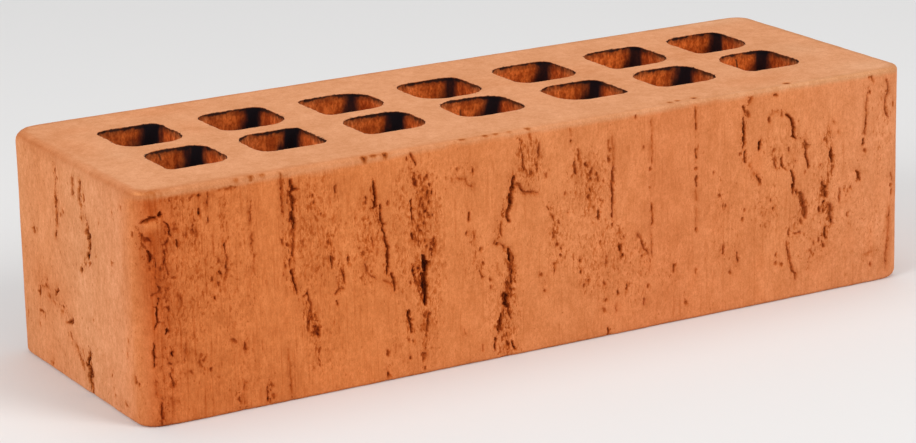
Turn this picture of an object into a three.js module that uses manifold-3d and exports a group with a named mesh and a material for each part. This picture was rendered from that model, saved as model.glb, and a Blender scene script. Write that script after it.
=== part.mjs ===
// A perforated clay facing brick of the narrow "Euro" format, 250 x 85 x 65 mm.
//
// The body is one piece of fired clay. It is extruded along Z through a die that forms the
// two long stretcher faces, the two short header faces, the rounded upright corners and the
// fourteen cores, and then it is cut with a wire at the bottom and top bed faces.
//
// Units are millimetres. X runs along the length, Y across the width and Z up.
// The origin is the centre of the bottom bed face, so the brick lies on Z = 0.

import * as THREE from 'three';
import { mergeVertices } from 'three/addons/utils/BufferGeometryUtils.js';
import Module from 'manifold-3d';

// ---- driving dimensions, mm ----

const LENGTH = 250; // along X, header face to header face
const WIDTH = 85; // along Y, stretcher face to stretcher face
const HEIGHT = 65; // along Z, wire cut to wire cut

const CORNER_RADIUS = 6; // the four upright corners, rounded by the die
const ARRIS = 1.2; // the softened edge round each wire-cut bed face

// The cores: seven columns in two rows, squares of about 21 mm with rounded corners. The die's
// core rods wear and drift a little under the pressure of the clay, so the pitch is near 32 mm and
// each core has its own size. Each row below is one core: the centre's x and y, the length along
// X, the width along Y, and the corner radii anticlockwise from the (+X, +Y) corner.
const CORES_REAR = [
  [-97.2, 13.6, 19.8, 21.8, [4.0, 4.2, 6.0, 6.2]],
  [-65.6, 14.0, 21.6, 21.8, [3.8, 5.8, 4.4, 7.6]],
  [-33.5, 13.6, 21.4, 20.9, [8.2, 3.8, 2.6, 7.6]],
  [-2.0, 13.0, 21.7, 22.4, [4.2, 6.8, 7.4, 7.4]],
  [31.0, 14.5, 21.6, 22.4, [3.8, 7.0, 5.0, 6.8]],
  [63.4, 14.7, 22.0, 23.1, [2.6, 7.6, 2.4, 8.4]],
  [94.3, 16.9, 21.1, 23.3, [3.4, 8.0, 2.6, 9.0]],
];
const CORES_FRONT = [
  [-96.8, -14.3, 19.6, 20.7, [5.2, 6.6, 2.0, 6.0]],
  [-67.5, -13.0, 21.0, 20.4, [2.6, 7.4, 4.6, 3.4]],
  [-34.5, -12.5, 21.2, 20.5, [6.0, 7.6, 3.2, 7.0]],
  [-2.6, -11.7, 21.7, 20.6, [7.2, 7.6, 5.2, 5.8]],
  [30.5, -12.8, 21.3, 20.3, [3.6, 6.8, 8.6, 3.2]],
  [61.9, -13.1, 22.0, 21.3, [6.2, 8.8, 4.0, 6.2]],
  [93.4, -11.2, 20.7, 22.1, [4.2, 8.6, 2.8, 5.8]],
];

// Segments in each quarter circle.
const OUTER_CORNER_STEPS = 8;
const CORE_CORNER_STEPS = 6;
const ARRIS_STEPS = 3;

const BODY_COLOUR = 0xd9834f; // orange fired clay
const BODY_ROUGHNESS = 0.92;

// ---- outlines ----

// A rectangle with round corners, centred on (cx, cy) and drawn anticlockwise from its +X side.
// The radii are those of the (+X, +Y), (-X, +Y), (-X, -Y) and (+X, -Y) corners.
function roundedRectangle(cx, cy, length, width, [r0, r1, r2, r3]) {
  const x = length / 2;
  const y = width / 2;
  const quarter = Math.PI / 2;
  const shape = new THREE.Shape();
  shape.absarc(cx + x - r0, cy + y - r0, r0, 0, quarter, false);
  shape.absarc(cx - x + r1, cy + y - r1, r1, quarter, 2 * quarter, false);
  shape.absarc(cx - x + r2, cy - y + r2, r2, 2 * quarter, 3 * quarter, false);
  shape.absarc(cx + x - r3, cy - y + r3, r3, 3 * quarter, 4 * quarter, false);
  shape.closePath();
  return shape;
}

// The brick's outline drawn up to its full height, with the softened arris at both bed faces.
function solidBlock() {
  const geometry = new THREE.ExtrudeGeometry(
    roundedRectangle(0, 0, LENGTH, WIDTH, Array(4).fill(CORNER_RADIUS)),
    {
      depth: HEIGHT - 2 * ARRIS,
      curveSegments: OUTER_CORNER_STEPS / 2,
      bevelEnabled: true,
      bevelThickness: ARRIS,
      bevelSize: ARRIS,
      bevelOffset: -ARRIS,
      bevelSegments: ARRIS_STEPS,
    },
  );
  geometry.translate(0, 0, ARRIS);
  return geometry;
}

// One core rod, longer than the brick is high so that it cuts clean through both bed faces.
function coreRod([cx, cy, length, width, radii]) {
  const overrun = 3;
  const geometry = new THREE.ExtrudeGeometry(
    roundedRectangle(cx, cy, length, width, radii),
    {
      depth: HEIGHT + 2 * overrun,
      curveSegments: CORE_CORNER_STEPS / 2,
      bevelEnabled: false,
    },
  );
  geometry.translate(0, 0, -overrun);
  return geometry;
}

// ---- solid cutting ----

const wasm = await Module();
wasm.setup();

function toSolid(geometry) {
  const bare = geometry.clone();
  bare.deleteAttribute('normal');
  bare.deleteAttribute('uv');
  const merged = mergeVertices(bare, 1e-4);
  return new wasm.Manifold(
    new wasm.Mesh({
      numProp: 3,
      vertProperties: new Float32Array(merged.attributes.position.array),
      triVerts: new Uint32Array(merged.index.array),
    }),
  );
}

function toGeometry(solid) {
  const mesh = solid.getMesh();
  const geometry = new THREE.BufferGeometry();
  geometry.setAttribute(
    'position',
    new THREE.BufferAttribute(new Float32Array(mesh.vertProperties), 3),
  );
  geometry.setIndex(new THREE.BufferAttribute(new Uint32Array(mesh.triVerts), 1));
  geometry.computeVertexNormals();
  return geometry;
}

let body = toSolid(solidBlock());
for (const core of [...CORES_REAR, ...CORES_FRONT]) {
  body = body.subtract(toSolid(coreRod(core)));
}

// ---- the brick ----

const clayBrick = new THREE.Mesh(
  toGeometry(body),
  new THREE.MeshStandardMaterial({
    color: BODY_COLOUR,
    roughness: BODY_ROUGHNESS,
    metalness: 0,
  }),
);
clayBrick.name = 'brick_body';

const group = new THREE.Group();
group.add(clayBrick);

export default group;
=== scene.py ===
# The clay brick's looks: its displaced body with the bark texture, its material, the studio and the camera.
import math
import bpy
import numpy as np
from mathutils import Matrix, Vector
from mathutils.geometry import delaunay_2d_cdt


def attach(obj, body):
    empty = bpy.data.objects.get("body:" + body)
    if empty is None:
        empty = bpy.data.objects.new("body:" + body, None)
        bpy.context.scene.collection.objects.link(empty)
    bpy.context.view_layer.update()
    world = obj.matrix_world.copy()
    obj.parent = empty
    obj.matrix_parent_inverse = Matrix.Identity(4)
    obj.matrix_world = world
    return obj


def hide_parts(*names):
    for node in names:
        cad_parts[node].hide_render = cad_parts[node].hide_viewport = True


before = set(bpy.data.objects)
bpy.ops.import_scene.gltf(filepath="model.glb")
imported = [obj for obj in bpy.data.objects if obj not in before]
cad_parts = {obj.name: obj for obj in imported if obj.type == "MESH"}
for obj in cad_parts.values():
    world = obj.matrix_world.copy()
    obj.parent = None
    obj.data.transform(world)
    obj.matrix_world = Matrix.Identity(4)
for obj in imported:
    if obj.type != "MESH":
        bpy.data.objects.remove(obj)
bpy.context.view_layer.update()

# ---------------------------------------------------------------------------------------------
# The body's driving sizes in millimetres, as in part.mjs
# ---------------------------------------------------------------------------------------------
L, W, H = 250.0, 85.0, 65.0
RC = 6.0                                    # the rounded upright corners
# The cores: centre x and y, length along x, width along y, and the corner radii anticlockwise from (+x, +y)
CORES = [(-97.2, 13.6, 19.8, 21.8, (4.0, 4.2, 6.0, 6.2)), (-65.6, 14.0, 21.6, 21.8, (3.8, 5.8, 4.4, 7.6)),
         (-33.5, 13.6, 21.4, 20.9, (8.2, 3.8, 2.6, 7.6)), (-2.0, 13.0, 21.7, 22.4, (4.2, 6.8, 7.4, 7.4)),
         (31.0, 14.5, 21.6, 22.4, (3.8, 7.0, 5.0, 6.8)), (63.4, 14.7, 22.0, 23.1, (2.6, 7.6, 2.4, 8.4)),
         (94.3, 16.9, 21.1, 23.3, (3.4, 8.0, 2.6, 9.0)), (-96.8, -14.3, 19.6, 20.7, (5.2, 6.6, 2.0, 6.0)),
         (-67.5, -13.0, 21.0, 20.4, (2.6, 7.4, 4.6, 3.4)), (-34.5, -12.5, 21.2, 20.5, (6.0, 7.6, 3.2, 7.0)),
         (-2.6, -11.7, 21.7, 20.6, (7.2, 7.6, 5.2, 5.8)), (30.5, -12.8, 21.3, 20.3, (3.6, 6.8, 8.6, 3.2)),
         (61.9, -13.1, 22.0, 21.3, (6.2, 8.8, 4.0, 6.2)), (93.4, -11.2, 20.7, 22.1, (4.2, 8.6, 2.8, 5.8))]

# The girth coordinate u runs anticlockwise seen from above, from the middle of the rear face:
# rear half, left header, front, right header, rear half.
ARC = RC * math.pi / 2
U_A = L / 2 - RC                            # 119: end of the rear face's first half
U_B = U_A + ARC                             # start of the left header face
U_C = U_B + W - 2 * RC                      # end of it
U_D = U_C + ARC                             # start of the front face
U_E = U_D + L - 2 * RC
U_F = U_E + ARC                             # start of the right header face
U_G = U_F + W - 2 * RC
U_H = U_G + ARC
GIRTH = U_H + L / 2 - RC


def outline(u):
    """Points and outward normals of the body's outline at the girth coordinates u."""
    u = np.mod(np.asarray(u, float), GIRTH)
    x, y, nx, ny = (np.zeros_like(u) for _ in range(4))

    def put(m, px, py, ax, ay):
        x[m], y[m], nx[m], ny[m] = px, py, ax, ay

    m = u < U_A
    put(m, -u[m], W / 2, 0, 1)
    for lo, hi, cx, cy, a0 in ((U_A, U_B, -1, 1, 90), (U_C, U_D, -1, -1, 180), (U_E, U_F, 1, -1, 270), (U_G, U_H, 1, 1, 0)):
        m = (u >= lo) & (u < hi)
        a = np.radians(a0) + (u[m] - lo) / RC
        put(m, cx * (L / 2 - RC) + RC * np.cos(a), cy * (W / 2 - RC) + RC * np.sin(a), np.cos(a), np.sin(a))
    m = (u >= U_B) & (u < U_C)
    put(m, -L / 2, W / 2 - RC - (u[m] - U_B), -1, 0)
    m = (u >= U_D) & (u < U_E)
    put(m, -L / 2 + RC + (u[m] - U_D), -W / 2, 0, -1)
    m = (u >= U_F) & (u < U_G)
    put(m, L / 2, -W / 2 + RC + (u[m] - U_F), 1, 0)
    m = u >= U_H
    put(m, L / 2 - RC - (u[m] - U_H), W / 2, 0, 1)
    return x, y, nx, ny


def girth_of(x, y):
    """The girth coordinate of the outline's point nearest to each (x, y)."""
    ax, ay = L / 2 - RC, W / 2 - RC
    qx, qy = np.clip(x, -ax, ax), np.clip(y, -ay, ay)
    dx, dy = x - qx, y - qy
    corner = (np.abs(x) > ax) & (np.abs(y) > ay)
    u = np.zeros_like(x)
    to_x = (L / 2 - np.abs(x)) < (W / 2 - np.abs(y))       # nearer a header face than a stretcher face
    m = ~corner & to_x & (x < 0)
    u[m] = U_B + (W / 2 - RC - qy[m])
    m = ~corner & to_x & (x >= 0)
    u[m] = U_F + (qy[m] + W / 2 - RC)
    m = ~corner & ~to_x & (y < 0)
    u[m] = U_D + (qx[m] + L / 2 - RC)
    m = ~corner & ~to_x & (y >= 0)
    u[m] = np.mod(-qx[m], GIRTH)
    for sx, sy, lo, a0 in ((-1, 1, U_A, 90), (-1, -1, U_C, 180), (1, -1, U_E, 270), (1, 1, U_G, 0)):
        m = corner & (np.sign(x) == sx) & (np.sign(y) == sy)
        a = np.degrees(np.arctan2(dy[m], dx[m]))
        u[m] = lo + np.radians(np.clip(np.mod(a - a0 + 90, 360) - 90, 0, 90)) * RC
    return u


def from_front(x):
    """u of a place on the front as it is seen square on, with the two rounded corners that run off its ends."""
    xs = [-126.6, -125.5, -124.0, -122.36, -120.64, -119.0, 119.0, 120.4, 121.4, 121.9, 122.4]
    us = [U_D - RC * math.radians(a) for a in (75, 60, 45, 30, 15, 0)] + [U_E + RC * math.radians(a) for a in (0, 15, 30, 45, 60)]
    return np.interp(x, xs, us)


def from_left(y):
    """u of a place on the left header face, y from rear to front."""
    ys = [-48.5, -44.7, -41.3, -38.5, -36.5, 36.5, 37.5, 38.5]
    us = [U_C + RC * math.radians(a) for a in (60, 45, 30, 15, 0)] + [U_B, U_B - RC * math.radians(20), U_B - RC * math.radians(40)]
    return np.interp(y, ys, us)


# ---------------------------------------------------------------------------------------------
# Noise
# ---------------------------------------------------------------------------------------------
def perlin(x, y, seed, period=None):
    """Gradient noise from about -1 to 1. With period, it repeats along x after that many cells."""
    rng = np.random.default_rng(seed)
    nx, ny = 2048, 128
    a = (rng.random((ny, nx)) * 2 * math.pi).astype(np.float32)
    gx, gy = np.cos(a), np.sin(a)
    x, y = np.broadcast_arrays(np.asarray(x, np.float32), np.asarray(y, np.float32))
    xi, yi = np.floor(x).astype(np.int32), np.floor(y).astype(np.int32)
    xf, yf = x - xi, y - yi
    wrap = period or nx
    x0, x1, y0, y1 = xi % wrap, (xi + 1) % wrap, yi % ny, (yi + 1) % ny
    u, v = xf * xf * xf * (xf * (xf * 6 - 15) + 10), yf * yf * yf * (yf * (yf * 6 - 15) + 10)
    a00 = gx[y0, x0] * xf + gy[y0, x0] * yf
    a10 = gx[y0, x1] * (xf - 1) + gy[y0, x1] * yf
    a01 = gx[y1, x0] * xf + gy[y1, x0] * (yf - 1)
    a11 = gx[y1, x1] * (xf - 1) + gy[y1, x1] * (yf - 1)
    low = a00 + u * (a10 - a00)
    return (low + v * (a01 + u * (a11 - a01) - low)) * 1.5


def girth_noise(u, z, du, dz, seed):
    """Noise on the sides with cells of about du by dz mm, without a seam round the girth."""
    n = max(2, int(round(GIRTH / du)))
    return perlin(u / GIRTH * n, z / dz + 0.37 * seed, seed, n)


def smooth(a, b, x):
    t = np.clip((x - a) / (b - a), 0.0, 1.0)
    return t * t * (3 - 2 * t)

# ---------------------------------------------------------------------------------------------
# The bark texture: tears that the texturing roller pulled open in the clay. Each is
# (how dark, how deep, [(along the face, height, width) ...]), in millimetres on the face seen square on.
# ---------------------------------------------------------------------------------------------
FRONT_TEARS = [
    # the left end, where the clay tore most
    (.85, 1.2, [(-124.4, 57.0, .9), (-122.8, 57.4, 1.0), (-121.3, 58.2, 1.3), (-119.8, 58.2, 1.2), (-119.2, 58.4, .4)]),
    (.95, 1.2, [(-118.6, 58.7, .9), (-118.1, 58.9, 1.4), (-117.7, 58.7, .7)]),
    (.85, .6, [(-117.2, 56.6, .5), (-116.1, 55.8, .8), (-115.7, 54.6, .8), (-115.6, 53.2, .7), (-115.2, 52, .6)]),
    (.45, .5, [(-117, 54.8, .5), (-116.9, 53.2, .6)]),
    (.6, .5, [(-116, 51.2, .7), (-116.8, 50.8, .7), (-117.8, 50.6, .7)]),
    (.8, .6, [(-123.8, 53.8, 1.1), (-123.4, 52.6, 1.7), (-122.4, 52.4, 1.3), (-121.2, 52.0, .7)]),
    (.6, .5, [(-123.6, 51.2, .9), (-122.9, 49.8, 1.0)]),
    (.85, 1.1, [(-122.2, 49.2, .8), (-121.6, 48, 1.6), (-121.8, 46.9, .9)]),
    (.2, .6, [(-120.3, 47.4, .5), (-120, 45, .6), (-120.2, 42, .4), (-120, 40.2, .5)]),
    (.5, .5, [(-117.3, 49.4, .7), (-117.2, 47.5, .8), (-117.5, 45.8, .9), (-117, 43.8, .7), (-116.4, 41.8, .7)]),
    (.55, .5, [(-118.7, 44.1, .9), (-118.6, 43.4, .9)]),
    (.55, .6, [(-119.7, 39.6, .8), (-119.2, 38.4, 1.4), (-119.8, 37.4, .7), (-121.2, 37.6, 1.0), (-121.9, 36.9, .5)]),
    (.4, .4, [(-118.9, 41.2, .9), (-118, 41, .6)]),
    (.5, .4, [(-117.4, 38.6, .7), (-116.6, 38.4, .9), (-116.9, 37.7, .5)]),
    (.75, .3, [(-115.4, 41, .9), (-114.2, 40.8, .7)]),
    (.85, 1.2, [(-120, 36, .3), (-120.2, 34.4, .5), (-120.5, 32.5, .8), (-120.6, 30.8, .8), (-120.8, 29.4, .6), (-121.3, 28.2, .4)]),
    (.85, 1.1, [(-117.9, 27.5, 1.0), (-117.7, 26.8, 1.4), (-118.3, 25.8, .5)]),
    (.7, .5, [(-118.7, 32.8, .5), (-117.8, 33.3, .7), (-117.0, 33.0, .8), (-116.7, 32.1, .6)]),
    (.62, .9, [(-121.7, 24.6, .5), (-121.8, 22.8, .7), (-122.0, 21.2, .9), (-122.0, 20.0, .7), (-122.1, 17.4, .4)]),
    (.35, .3, [(-121.6, 14, .3), (-121.6, 10.2, .6), (-121.8, 9.4, .3)]),
    (.42, .8, [(-119.9, 9, .4), (-120.2, 7, .6), (-120.4, 4.6, .6), (-120.5, 2.8, .7), (-120.4, .8, .4)]),
    (1.0, .7, [(-116.7, 20.4, 1.0), (-116.3, 19.6, .8)]),
    (.6, .6, [(-117.6, 17.8, 1.0), (-116.9, 17.3, .8)]),
    (.65, .6, [(-117.2, 15.2, .6), (-117.3, 14, 1.0), (-116.9, 12.8, .6), (-116.3, 11.8, .8), (-116.3, 11, .6)]),
    (.4, .3, [(-116.9, 7.4, 1.0), (-117, 6, .9)]),
    (.38, .4, [(-112.4, 22.4, .4), (-112.6, 20.4, .5), (-112.9, 18, .5)]),
    (.95, .8, [(-113.9, 51.2, .7), (-113.7, 50.2, .9), (-113.5, 49.2, .4)]),
    (.7, .4, [(-114.2, 54.4, .8), (-113.5, 54, .8)]),
    (.7, .9, [(-107, 62.3, .9), (-106.7, 61.9, 1.1)]),
    (1.0, .9, [(-107, 58.5, .8), (-107, 57.2, .9)]),
    (.4, .5, [(-104.1, 62.6, .5), (-104.2, 60.9, .6), (-104.6, 59.4, .6), (-104.5, 58, .3)]),
    (.6, .6, [(-104.2, 56, .5), (-104.4, 54.8, .7), (-104.9, 54.2, .3)]),
    (.75, 1.0, [(-99.9, 48.6, .4), (-100, 47.4, .8), (-100.1, 46, .4)]),
    (.45, .5, [(-99.4, 44.6, .8), (-99.3, 43.2, .9), (-99.7, 41.6, .5), (-99.4, 40.4, .9), (-99.9, 38.2, .5)]),
    (.8, .7, [(-101.6, 40.4, .8), (-101.2, 39.8, .9)]),
    (.3, .3, [(-101.6, 43.5, .9), (-101.2, 42.8, .7)]),
    (.4, .5, [(-91.8, 56.8, .4), (-92, 54.2, .6), (-92.1, 52, .5)]),
    (.5, .5, [(-91.7, 49.4, .3), (-91.9, 47.4, .6), (-92, 46, .5)]),
    (.3, .4, [(-91.2, 43.6, .4), (-91.4, 41, .6), (-91.8, 38.4, .4)]),
    (.2, .4, [(-109, 54, .6), (-108.8, 52.6, .8)]),
    (.35, .4, [(-108, 53.6, .5), (-107.8, 51.4, .9)]),
    (.5, .3, [(-110.7, 52.6, .7), (-110.8, 51, .6)]),
    (.45, .5, [(-98.5, 20.8, .8), (-98.1, 20.2, 1.0)]),
    (.55, .6, [(-95.2, 19.4, .4), (-95, 17.7, 1.1), (-95.7, 18, .5)]),
    (.75, .6, [(-88.7, 7, .3), (-88.9, 5.2, .7), (-88.8, 3.4, .6), (-88.9, 1.6, .7)]),
    (.55, .5, [(-87.8, 6, .8), (-87.2, 5.8, .9)]),
    (.55, .5, [(-87.3, 3.4, .8), (-87.1, 2, .8)]),
    (.6, .5, [(-97.5, 3.8, .9), (-97.1, 3.2, 1.0)]),
    (.4, .3, [(-95.6, 8.8, .6), (-96, 6, .4), (-95.7, 2, .5)]),
    (.4, .4, [(-108.6, 16.6, .7), (-108.5, 15.8, .8)]),
    (.65, .4, [(-107.4, 16.8, .8), (-106.8, 18, .5)]),
    (.5, .4, [(-112, 14.4, .8), (-110.8, 13.6, .8)]),
    (.4, .2, [(-113.4, 35.5, 1.0), (-112.9, 33.5, .8), (-113.6, 32, .8)]),
    (.7, .3, [(-100.8, 62.4, .3), (-99.6, 62.7, .5), (-97.8, 62.5, .7), (-96.4, 62.7, .6), (-95.2, 62.8, .3)]),
    # the first long tear and its neighbours
    (.55, .4, [(-82.5, 64.2, .8), (-82.3, 60, 1.0), (-82.5, 57, 1.0), (-82.2, 53, .5)]),
    (.7, 1.1, [(-80, 62, .7), (-79.5, 60, 1.5), (-80, 58, 1.9), (-79.3, 56.5, 1.4), (-79.4, 53.5, 1.0), (-79.5, 52, 1.2), (-79.3, 50, 1.3), (-79.5, 48.5, .7)]),
    (.85, .8, [(-79.4, 59.2, 1.2), (-78, 59.0, .9)]),
    (.5, .6, [(-79.4, 56.2, .9), (-78.2, 56.2, .5)]),
    (.75, .5, [(-83, 46, .6), (-82.5, 44.5, .7)]),
    (.62, .5, [(-79.3, 47.4, .6), (-79.6, 44, .8), (-79.8, 41, .8)]),
    (.8, .6, [(-80.5, 40.2, .7), (-80.8, 38, .6)]),
    (.85, .9, [(-80.5, 37, .7), (-80, 34.5, .9), (-79.5, 32.5, .8), (-78.8, 30.5, .5)]),
    (.8, .6, [(-77, 29, .7), (-75.8, 29.8, .8), (-75.5, 28, .8)]),
    (.65, .5, [(-75.5, 28, .8), (-74.8, 26, .9), (-75.5, 24, .8), (-76.2, 21.5, .8), (-75.8, 19, .6)]),
    (.85, .7, [(-74.2, 20, .8), (-73.2, 19.5, 1.7), (-73.1, 18.4, 1.7), (-73, 17.3, .8)]),
    (.7, .5, [(-74.4, 18.4, .8), (-74.3, 17.6, .8)]),
    (.4, .3, [(-82.2, 15, .4), (-81.8, 9, .4), (-81.7, 6.4, .5), (-81.7, 4.5, .9), (-81.7, 2.4, .5)]),
    (.4, .7, [(-66.4, 58.2, .8), (-66.4, 56.8, .8)]),
    (.8, .8, [(-68.3, 39, .6), (-68.2, 37, .9), (-68.2, 35.5, .6)]),
    (.9, .7, [(-63.3, 37.8, .6), (-63.3, 36.1, .6)]),
    (.9, .5, [(-65.3, 35, .5), (-64.8, 33, .7), (-64.3, 30.5, .5)]),
    (.65, .6, [(-64.7, 29.5, .9), (-66.2, 29.3, .6), (-67.5, 28.2, .9)]),
    (.9, .7, [(-66.8, 26.4, .7), (-66.8, 25.2, .6)]),
    (.45, .3, [(-76.5, 45, .6), (-76.5, 43, .5)]),
    # the second long tear
    (.9, 1.0, [(-54.8, 58, .5), (-54.7, 56, .9), (-54.3, 53, 1.0), (-54.4, 51, 1.0), (-55.3, 50.5, .6)]),
    (.7, .6, [(-57.2, 53.9, .6), (-57.2, 52.1, .6)]),
    (.75, .9, [(-53, 51, .6), (-53.1, 48, .8), (-52.6, 46, .9), (-52.4, 44, .8), (-51.7, 42, .9), (-51.6, 40.5, .8)]),
    (.85, 1.1, [(-51.6, 40.5, .8), (-51.1, 39, 1.1), (-51, 36, 1.1), (-51.2, 33, 1.1), (-51.4, 31, .6)]),
    (.8, .9, [(-50, 31, .8), (-49.5, 29.5, 1.0), (-49, 27.5, .9), (-49.3, 26.2, .5)]),
    (.4, .4, [(-52.5, 29.6, .6), (-51, 28.4, .7), (-49.7, 27, .6)]),
    (.3, .5, [(-58, 35, .5), (-57.3, 32.5, .6), (-56, 31, .6), (-55, 30.5, .4)]),
    (.95, .9, [(-45.2, 19.5, .6), (-45, 18, 1.0), (-44.6, 16, 1.0), (-44.2, 14, .9), (-44.3, 13.3, .5)]),
    (.8, .8, [(-52, 2.9, .8), (-52, 1.8, .8)]),
    (1.0, .5, [(-43.2, 51, .5), (-43.3, 48, .7), (-43.2, 45, .5)]),
    (.65, .6, [(-43.5, 63.8, .5), (-42.3, 62.5, .9), (-41.7, 60.5, .6)]),
    (.85, .5, [(-42.5, 56.5, .8), (-42, 55, 1.1), (-41.3, 54.3, .8)]),
    (.95, .5, [(-43.4, 41.2, .9), (-43.3, 39.6, .9)]),
    (.75, .4, [(-41.3, 43, .6), (-41, 41.5, .6)]),
    (1.0, .6, [(-43.5, 31, 1.0), (-43, 29.5, 1.1)]),
    # the third, widest tear
    (.7, .5, [(-36.7, 39, .4), (-36.5, 37, .6), (-36.2, 35, .4)]),
    (1.0, 1.5, [(-39.8, 34.0, 1.8), (-39.8, 32, 2.1), (-39.8, 29.5, 2.0), (-39.9, 26, 1.9), (-39.7, 23.6, 1.8), (-39.9, 20.6, 1.1)]),
    (.5, .8, [(-38.5, 17.5, .7), (-38.8, 16, .9), (-39.3, 14, 1.0), (-39.3, 12.5, .6)]),
    (.4, .4, [(-30, 54.6, .4), (-28, 54.3, .6), (-26.3, 53.8, .5), (-25.3, 52.3, .6), (-23.5, 51.3, .4)]),
    (.9, .7, [(-25.2, 43.9, .9), (-25.1, 41.8, 1.0)]),
    (.35, .4, [(-24, 38.5, .6), (-23.5, 36.5, .6)]),
    (.65, .5, [(-22, 27, .6), (-21.5, 25, .7)]),
    # the fourth, the main forked tear in the middle
    (.8, 1.3, [(-10.8, 52.8, .7), (-11, 50.6, 1.4), (-11.2, 49, 1.4), (-11.6, 47.6, 1.0)]),
    (.75, 1.4, [(-11.6, 47.6, 1.0), (-12.0, 46.3, 1.8), (-12.1, 44.8, 1.9), (-12.6, 43, 1.5)]),
    (.8, 1.0, [(-12.6, 43, 1.4), (-13.2, 41.6, 1.3), (-12.5, 39.8, .8)]),
    (.65, .7, [(-15, 40, .6), (-15.3, 38, .9), (-14.9, 36, .7)]),
    (.55, .8, [(-10.8, 50, .8), (-9, 49.5, .9), (-8, 48, .9), (-7, 47, .8), (-5, 46.8, .7), (-3, 46.3, .5)]),
    (.45, .7, [(-17.3, 35, .8), (-17.5, 34, .8), (-15.5, 33.5, .8), (-14, 32, .8)]),
    (.95, 1.1, [(-13, 32, .8), (-12.8, 30, 1.1), (-12.5, 28, .7)]),
    (.5, .6, [(-11.6, 30, .6), (-11.7, 27, .8), (-12.0, 24, .8), (-11.9, 21, .7)]),
    (.8, .6, [(-13.5, 22, 1.3), (-12.7, 21, 1.6), (-12.1, 19.6, 1.1)]),
    (.9, 1.4, [(-14.5, 19.3, 1.1), (-14.2, 17.6, 2.2), (-14.0, 16.4, 2.2), (-13.6, 15, 1.1)]),
    (.8, .6, [(-13.1, 14, .9), (-12.8, 12.4, .9), (-12.2, 11.0, .6)]),
    (.7, 1.2, [(-16, 13.2, .8), (-16.1, 11, 1.6), (-16.5, 9.4, 1.6), (-16.8, 8.1, .8)]),
    (.9, .8, [(-17.6, 6.2, .9), (-17.7, 3.5, .9)]),
    (.7, .5, [(-40.7, 6.3, .9), (-40.5, 4.6, 1.3)]),
    (.3, .3, [(-23.6, 31, .6), (-23.8, 29.6, .5)]),
    (.3, .3, [(-27.4, 11, .7), (-27.2, 9.4, .6)]),
    (.35, .3, [(-21.6, 5.4, .6), (-21.5, 3.4, .7)]),
    (.5, .4, [(-42.9, 45.2, .7), (-43, 43.2, .8)]),
    (.4, .4, [(-55.6, 41.6, .6), (-55.4, 39.2, .7)]),
    (.35, .3, [(-54.0, 38.6, .5), (-53.9, 36.8, .6)]),
    (.6, .5, [(-14, 5, .7), (-13.5, 3.5, .7)]),
    (1.0, .5, [(-12.3, 5, .8), (-11.8, 3, 1.0), (-11.4, 2.0, .9)]),
    (.65, .6, [(-7.7, 60, .4), (-7.6, 57, .7), (-7.7, 54.5, .6), (-7.3, 53.5, .4)]),
    (.6, .5, [(-5, 63.4, .5), (-5, 61, .6)]),
    (.45, .7, [(-2.4, 60.5, .6), (-2.5, 58, .9), (-2.5, 56.5, .6)]),
    (.75, .6, [(0, 51.7, .7), (0, 50.3, .7)]),
    (.95, .4, [(0, 42, .6), (.5, 41, .6)]),
    (.85, .5, [(1.5, 39.5, .6), (2, 38, .7)]),
    (.75, .6, [(1.8, 34.0, .6), (1.8, 33.2, .9), (1.9, 32.4, .6)]),
    (.6, .5, [(2.3, 25, .6), (2.3, 23, .6)]),
    # the middle right, small scattered tears
    (.65, .3, [(8, 63.4, .5), (8, 61, .5)]),
    (.75, .5, [(10.7, 57, .5), (10.6, 55, .7), (10.5, 53.5, .5)]),
    (.55, .7, [(9.2, 53.5, .7), (9.1, 52, 1.0), (9.5, 50.7, .9), (9.8, 50, .6)]),
    (.7, .6, [(12.5, 52.5, .8), (13.3, 51.5, 1.0)]),
    (.7, .6, [(15, 51, .8), (14.5, 49.5, .8)]),
    (.65, .8, [(16.9, 38, .9), (16.9, 36, 1.0)]),
    (.55, .3, [(20.6, 58, .5), (20.5, 55.5, .5)]),
    (.35, .3, [(21.8, 59, .4), (21.9, 54.5, .5), (22, 50, .5)]),
    (.6, .9, [(21.8, 50, .6), (21.7, 46, 1.1), (21.7, 42, .8), (21.6, 38, .9), (21.4, 35.5, .9)]),
    (.45, .5, [(19.5, 24, .6), (19.4, 22, .7)]),
    (.95, 1.0, [(24.2, 26.6, 1.2), (24.2, 25.4, 1.2)]),
    (.35, .4, [(23.4, 30.2, .6), (24.6, 30.2, .6)]),
    (.85, .5, [(24.8, 24, .7), (25, 23.5, .7)]),
    (.4, .6, [(30, 29, .6), (31.3, 26.5, 1.0), (32.2, 24.5, 1.0), (33.5, 22.5, .6)]),
    (.95, .5, [(26.2, 14.5, .6), (26.3, 13, .7)]),
    (.25, .5, [(22.5, 9, .6), (22.6, 7, .7)]),
    (.85, .8, [(19.9, 2.5, .8), (19.9, .8, .9)]),
    # the thin straight lines that the roller left
    (.55, .45, [(35.1, 62, .35), (35.1, 55, .35), (35.1, 49, .35)]),
    (.85, .4, [(35, 37, .5), (35, 36.3, .7), (35, 34, .5), (35, 31.6, .6), (35, 31, .6)]),
    (.45, .3, [(35, 28, .4), (35, 22, .4)]),
    (.35, .6, [(32.2, 9.2, .8), (32.2, 7.8, .8)]),
    (.8, .6, [(42.4, 17.5, .8), (42.4, 15.7, .8)]),
    (.8, .5, [(50.1, 63, .6), (50.1, 60, .7), (50.1, 56.5, .6)]),
    (1.0, .5, [(50.1, 51, .6), (50.1, 48.5, .6)]),
    (.9, .8, [(50.1, 42.5, .8), (50.1, 40, .9)]),
    (.6, .4, [(50.1, 40, .45), (50.1, 36, .4)]),
    (.3, .3, [(50.1, 33, .4), (50.1, 28, .4)]),
    (.75, .3, [(50.1, 15, .5), (50.1, 13.5, .5)]),
    # the hooked tears near the right end
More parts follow.
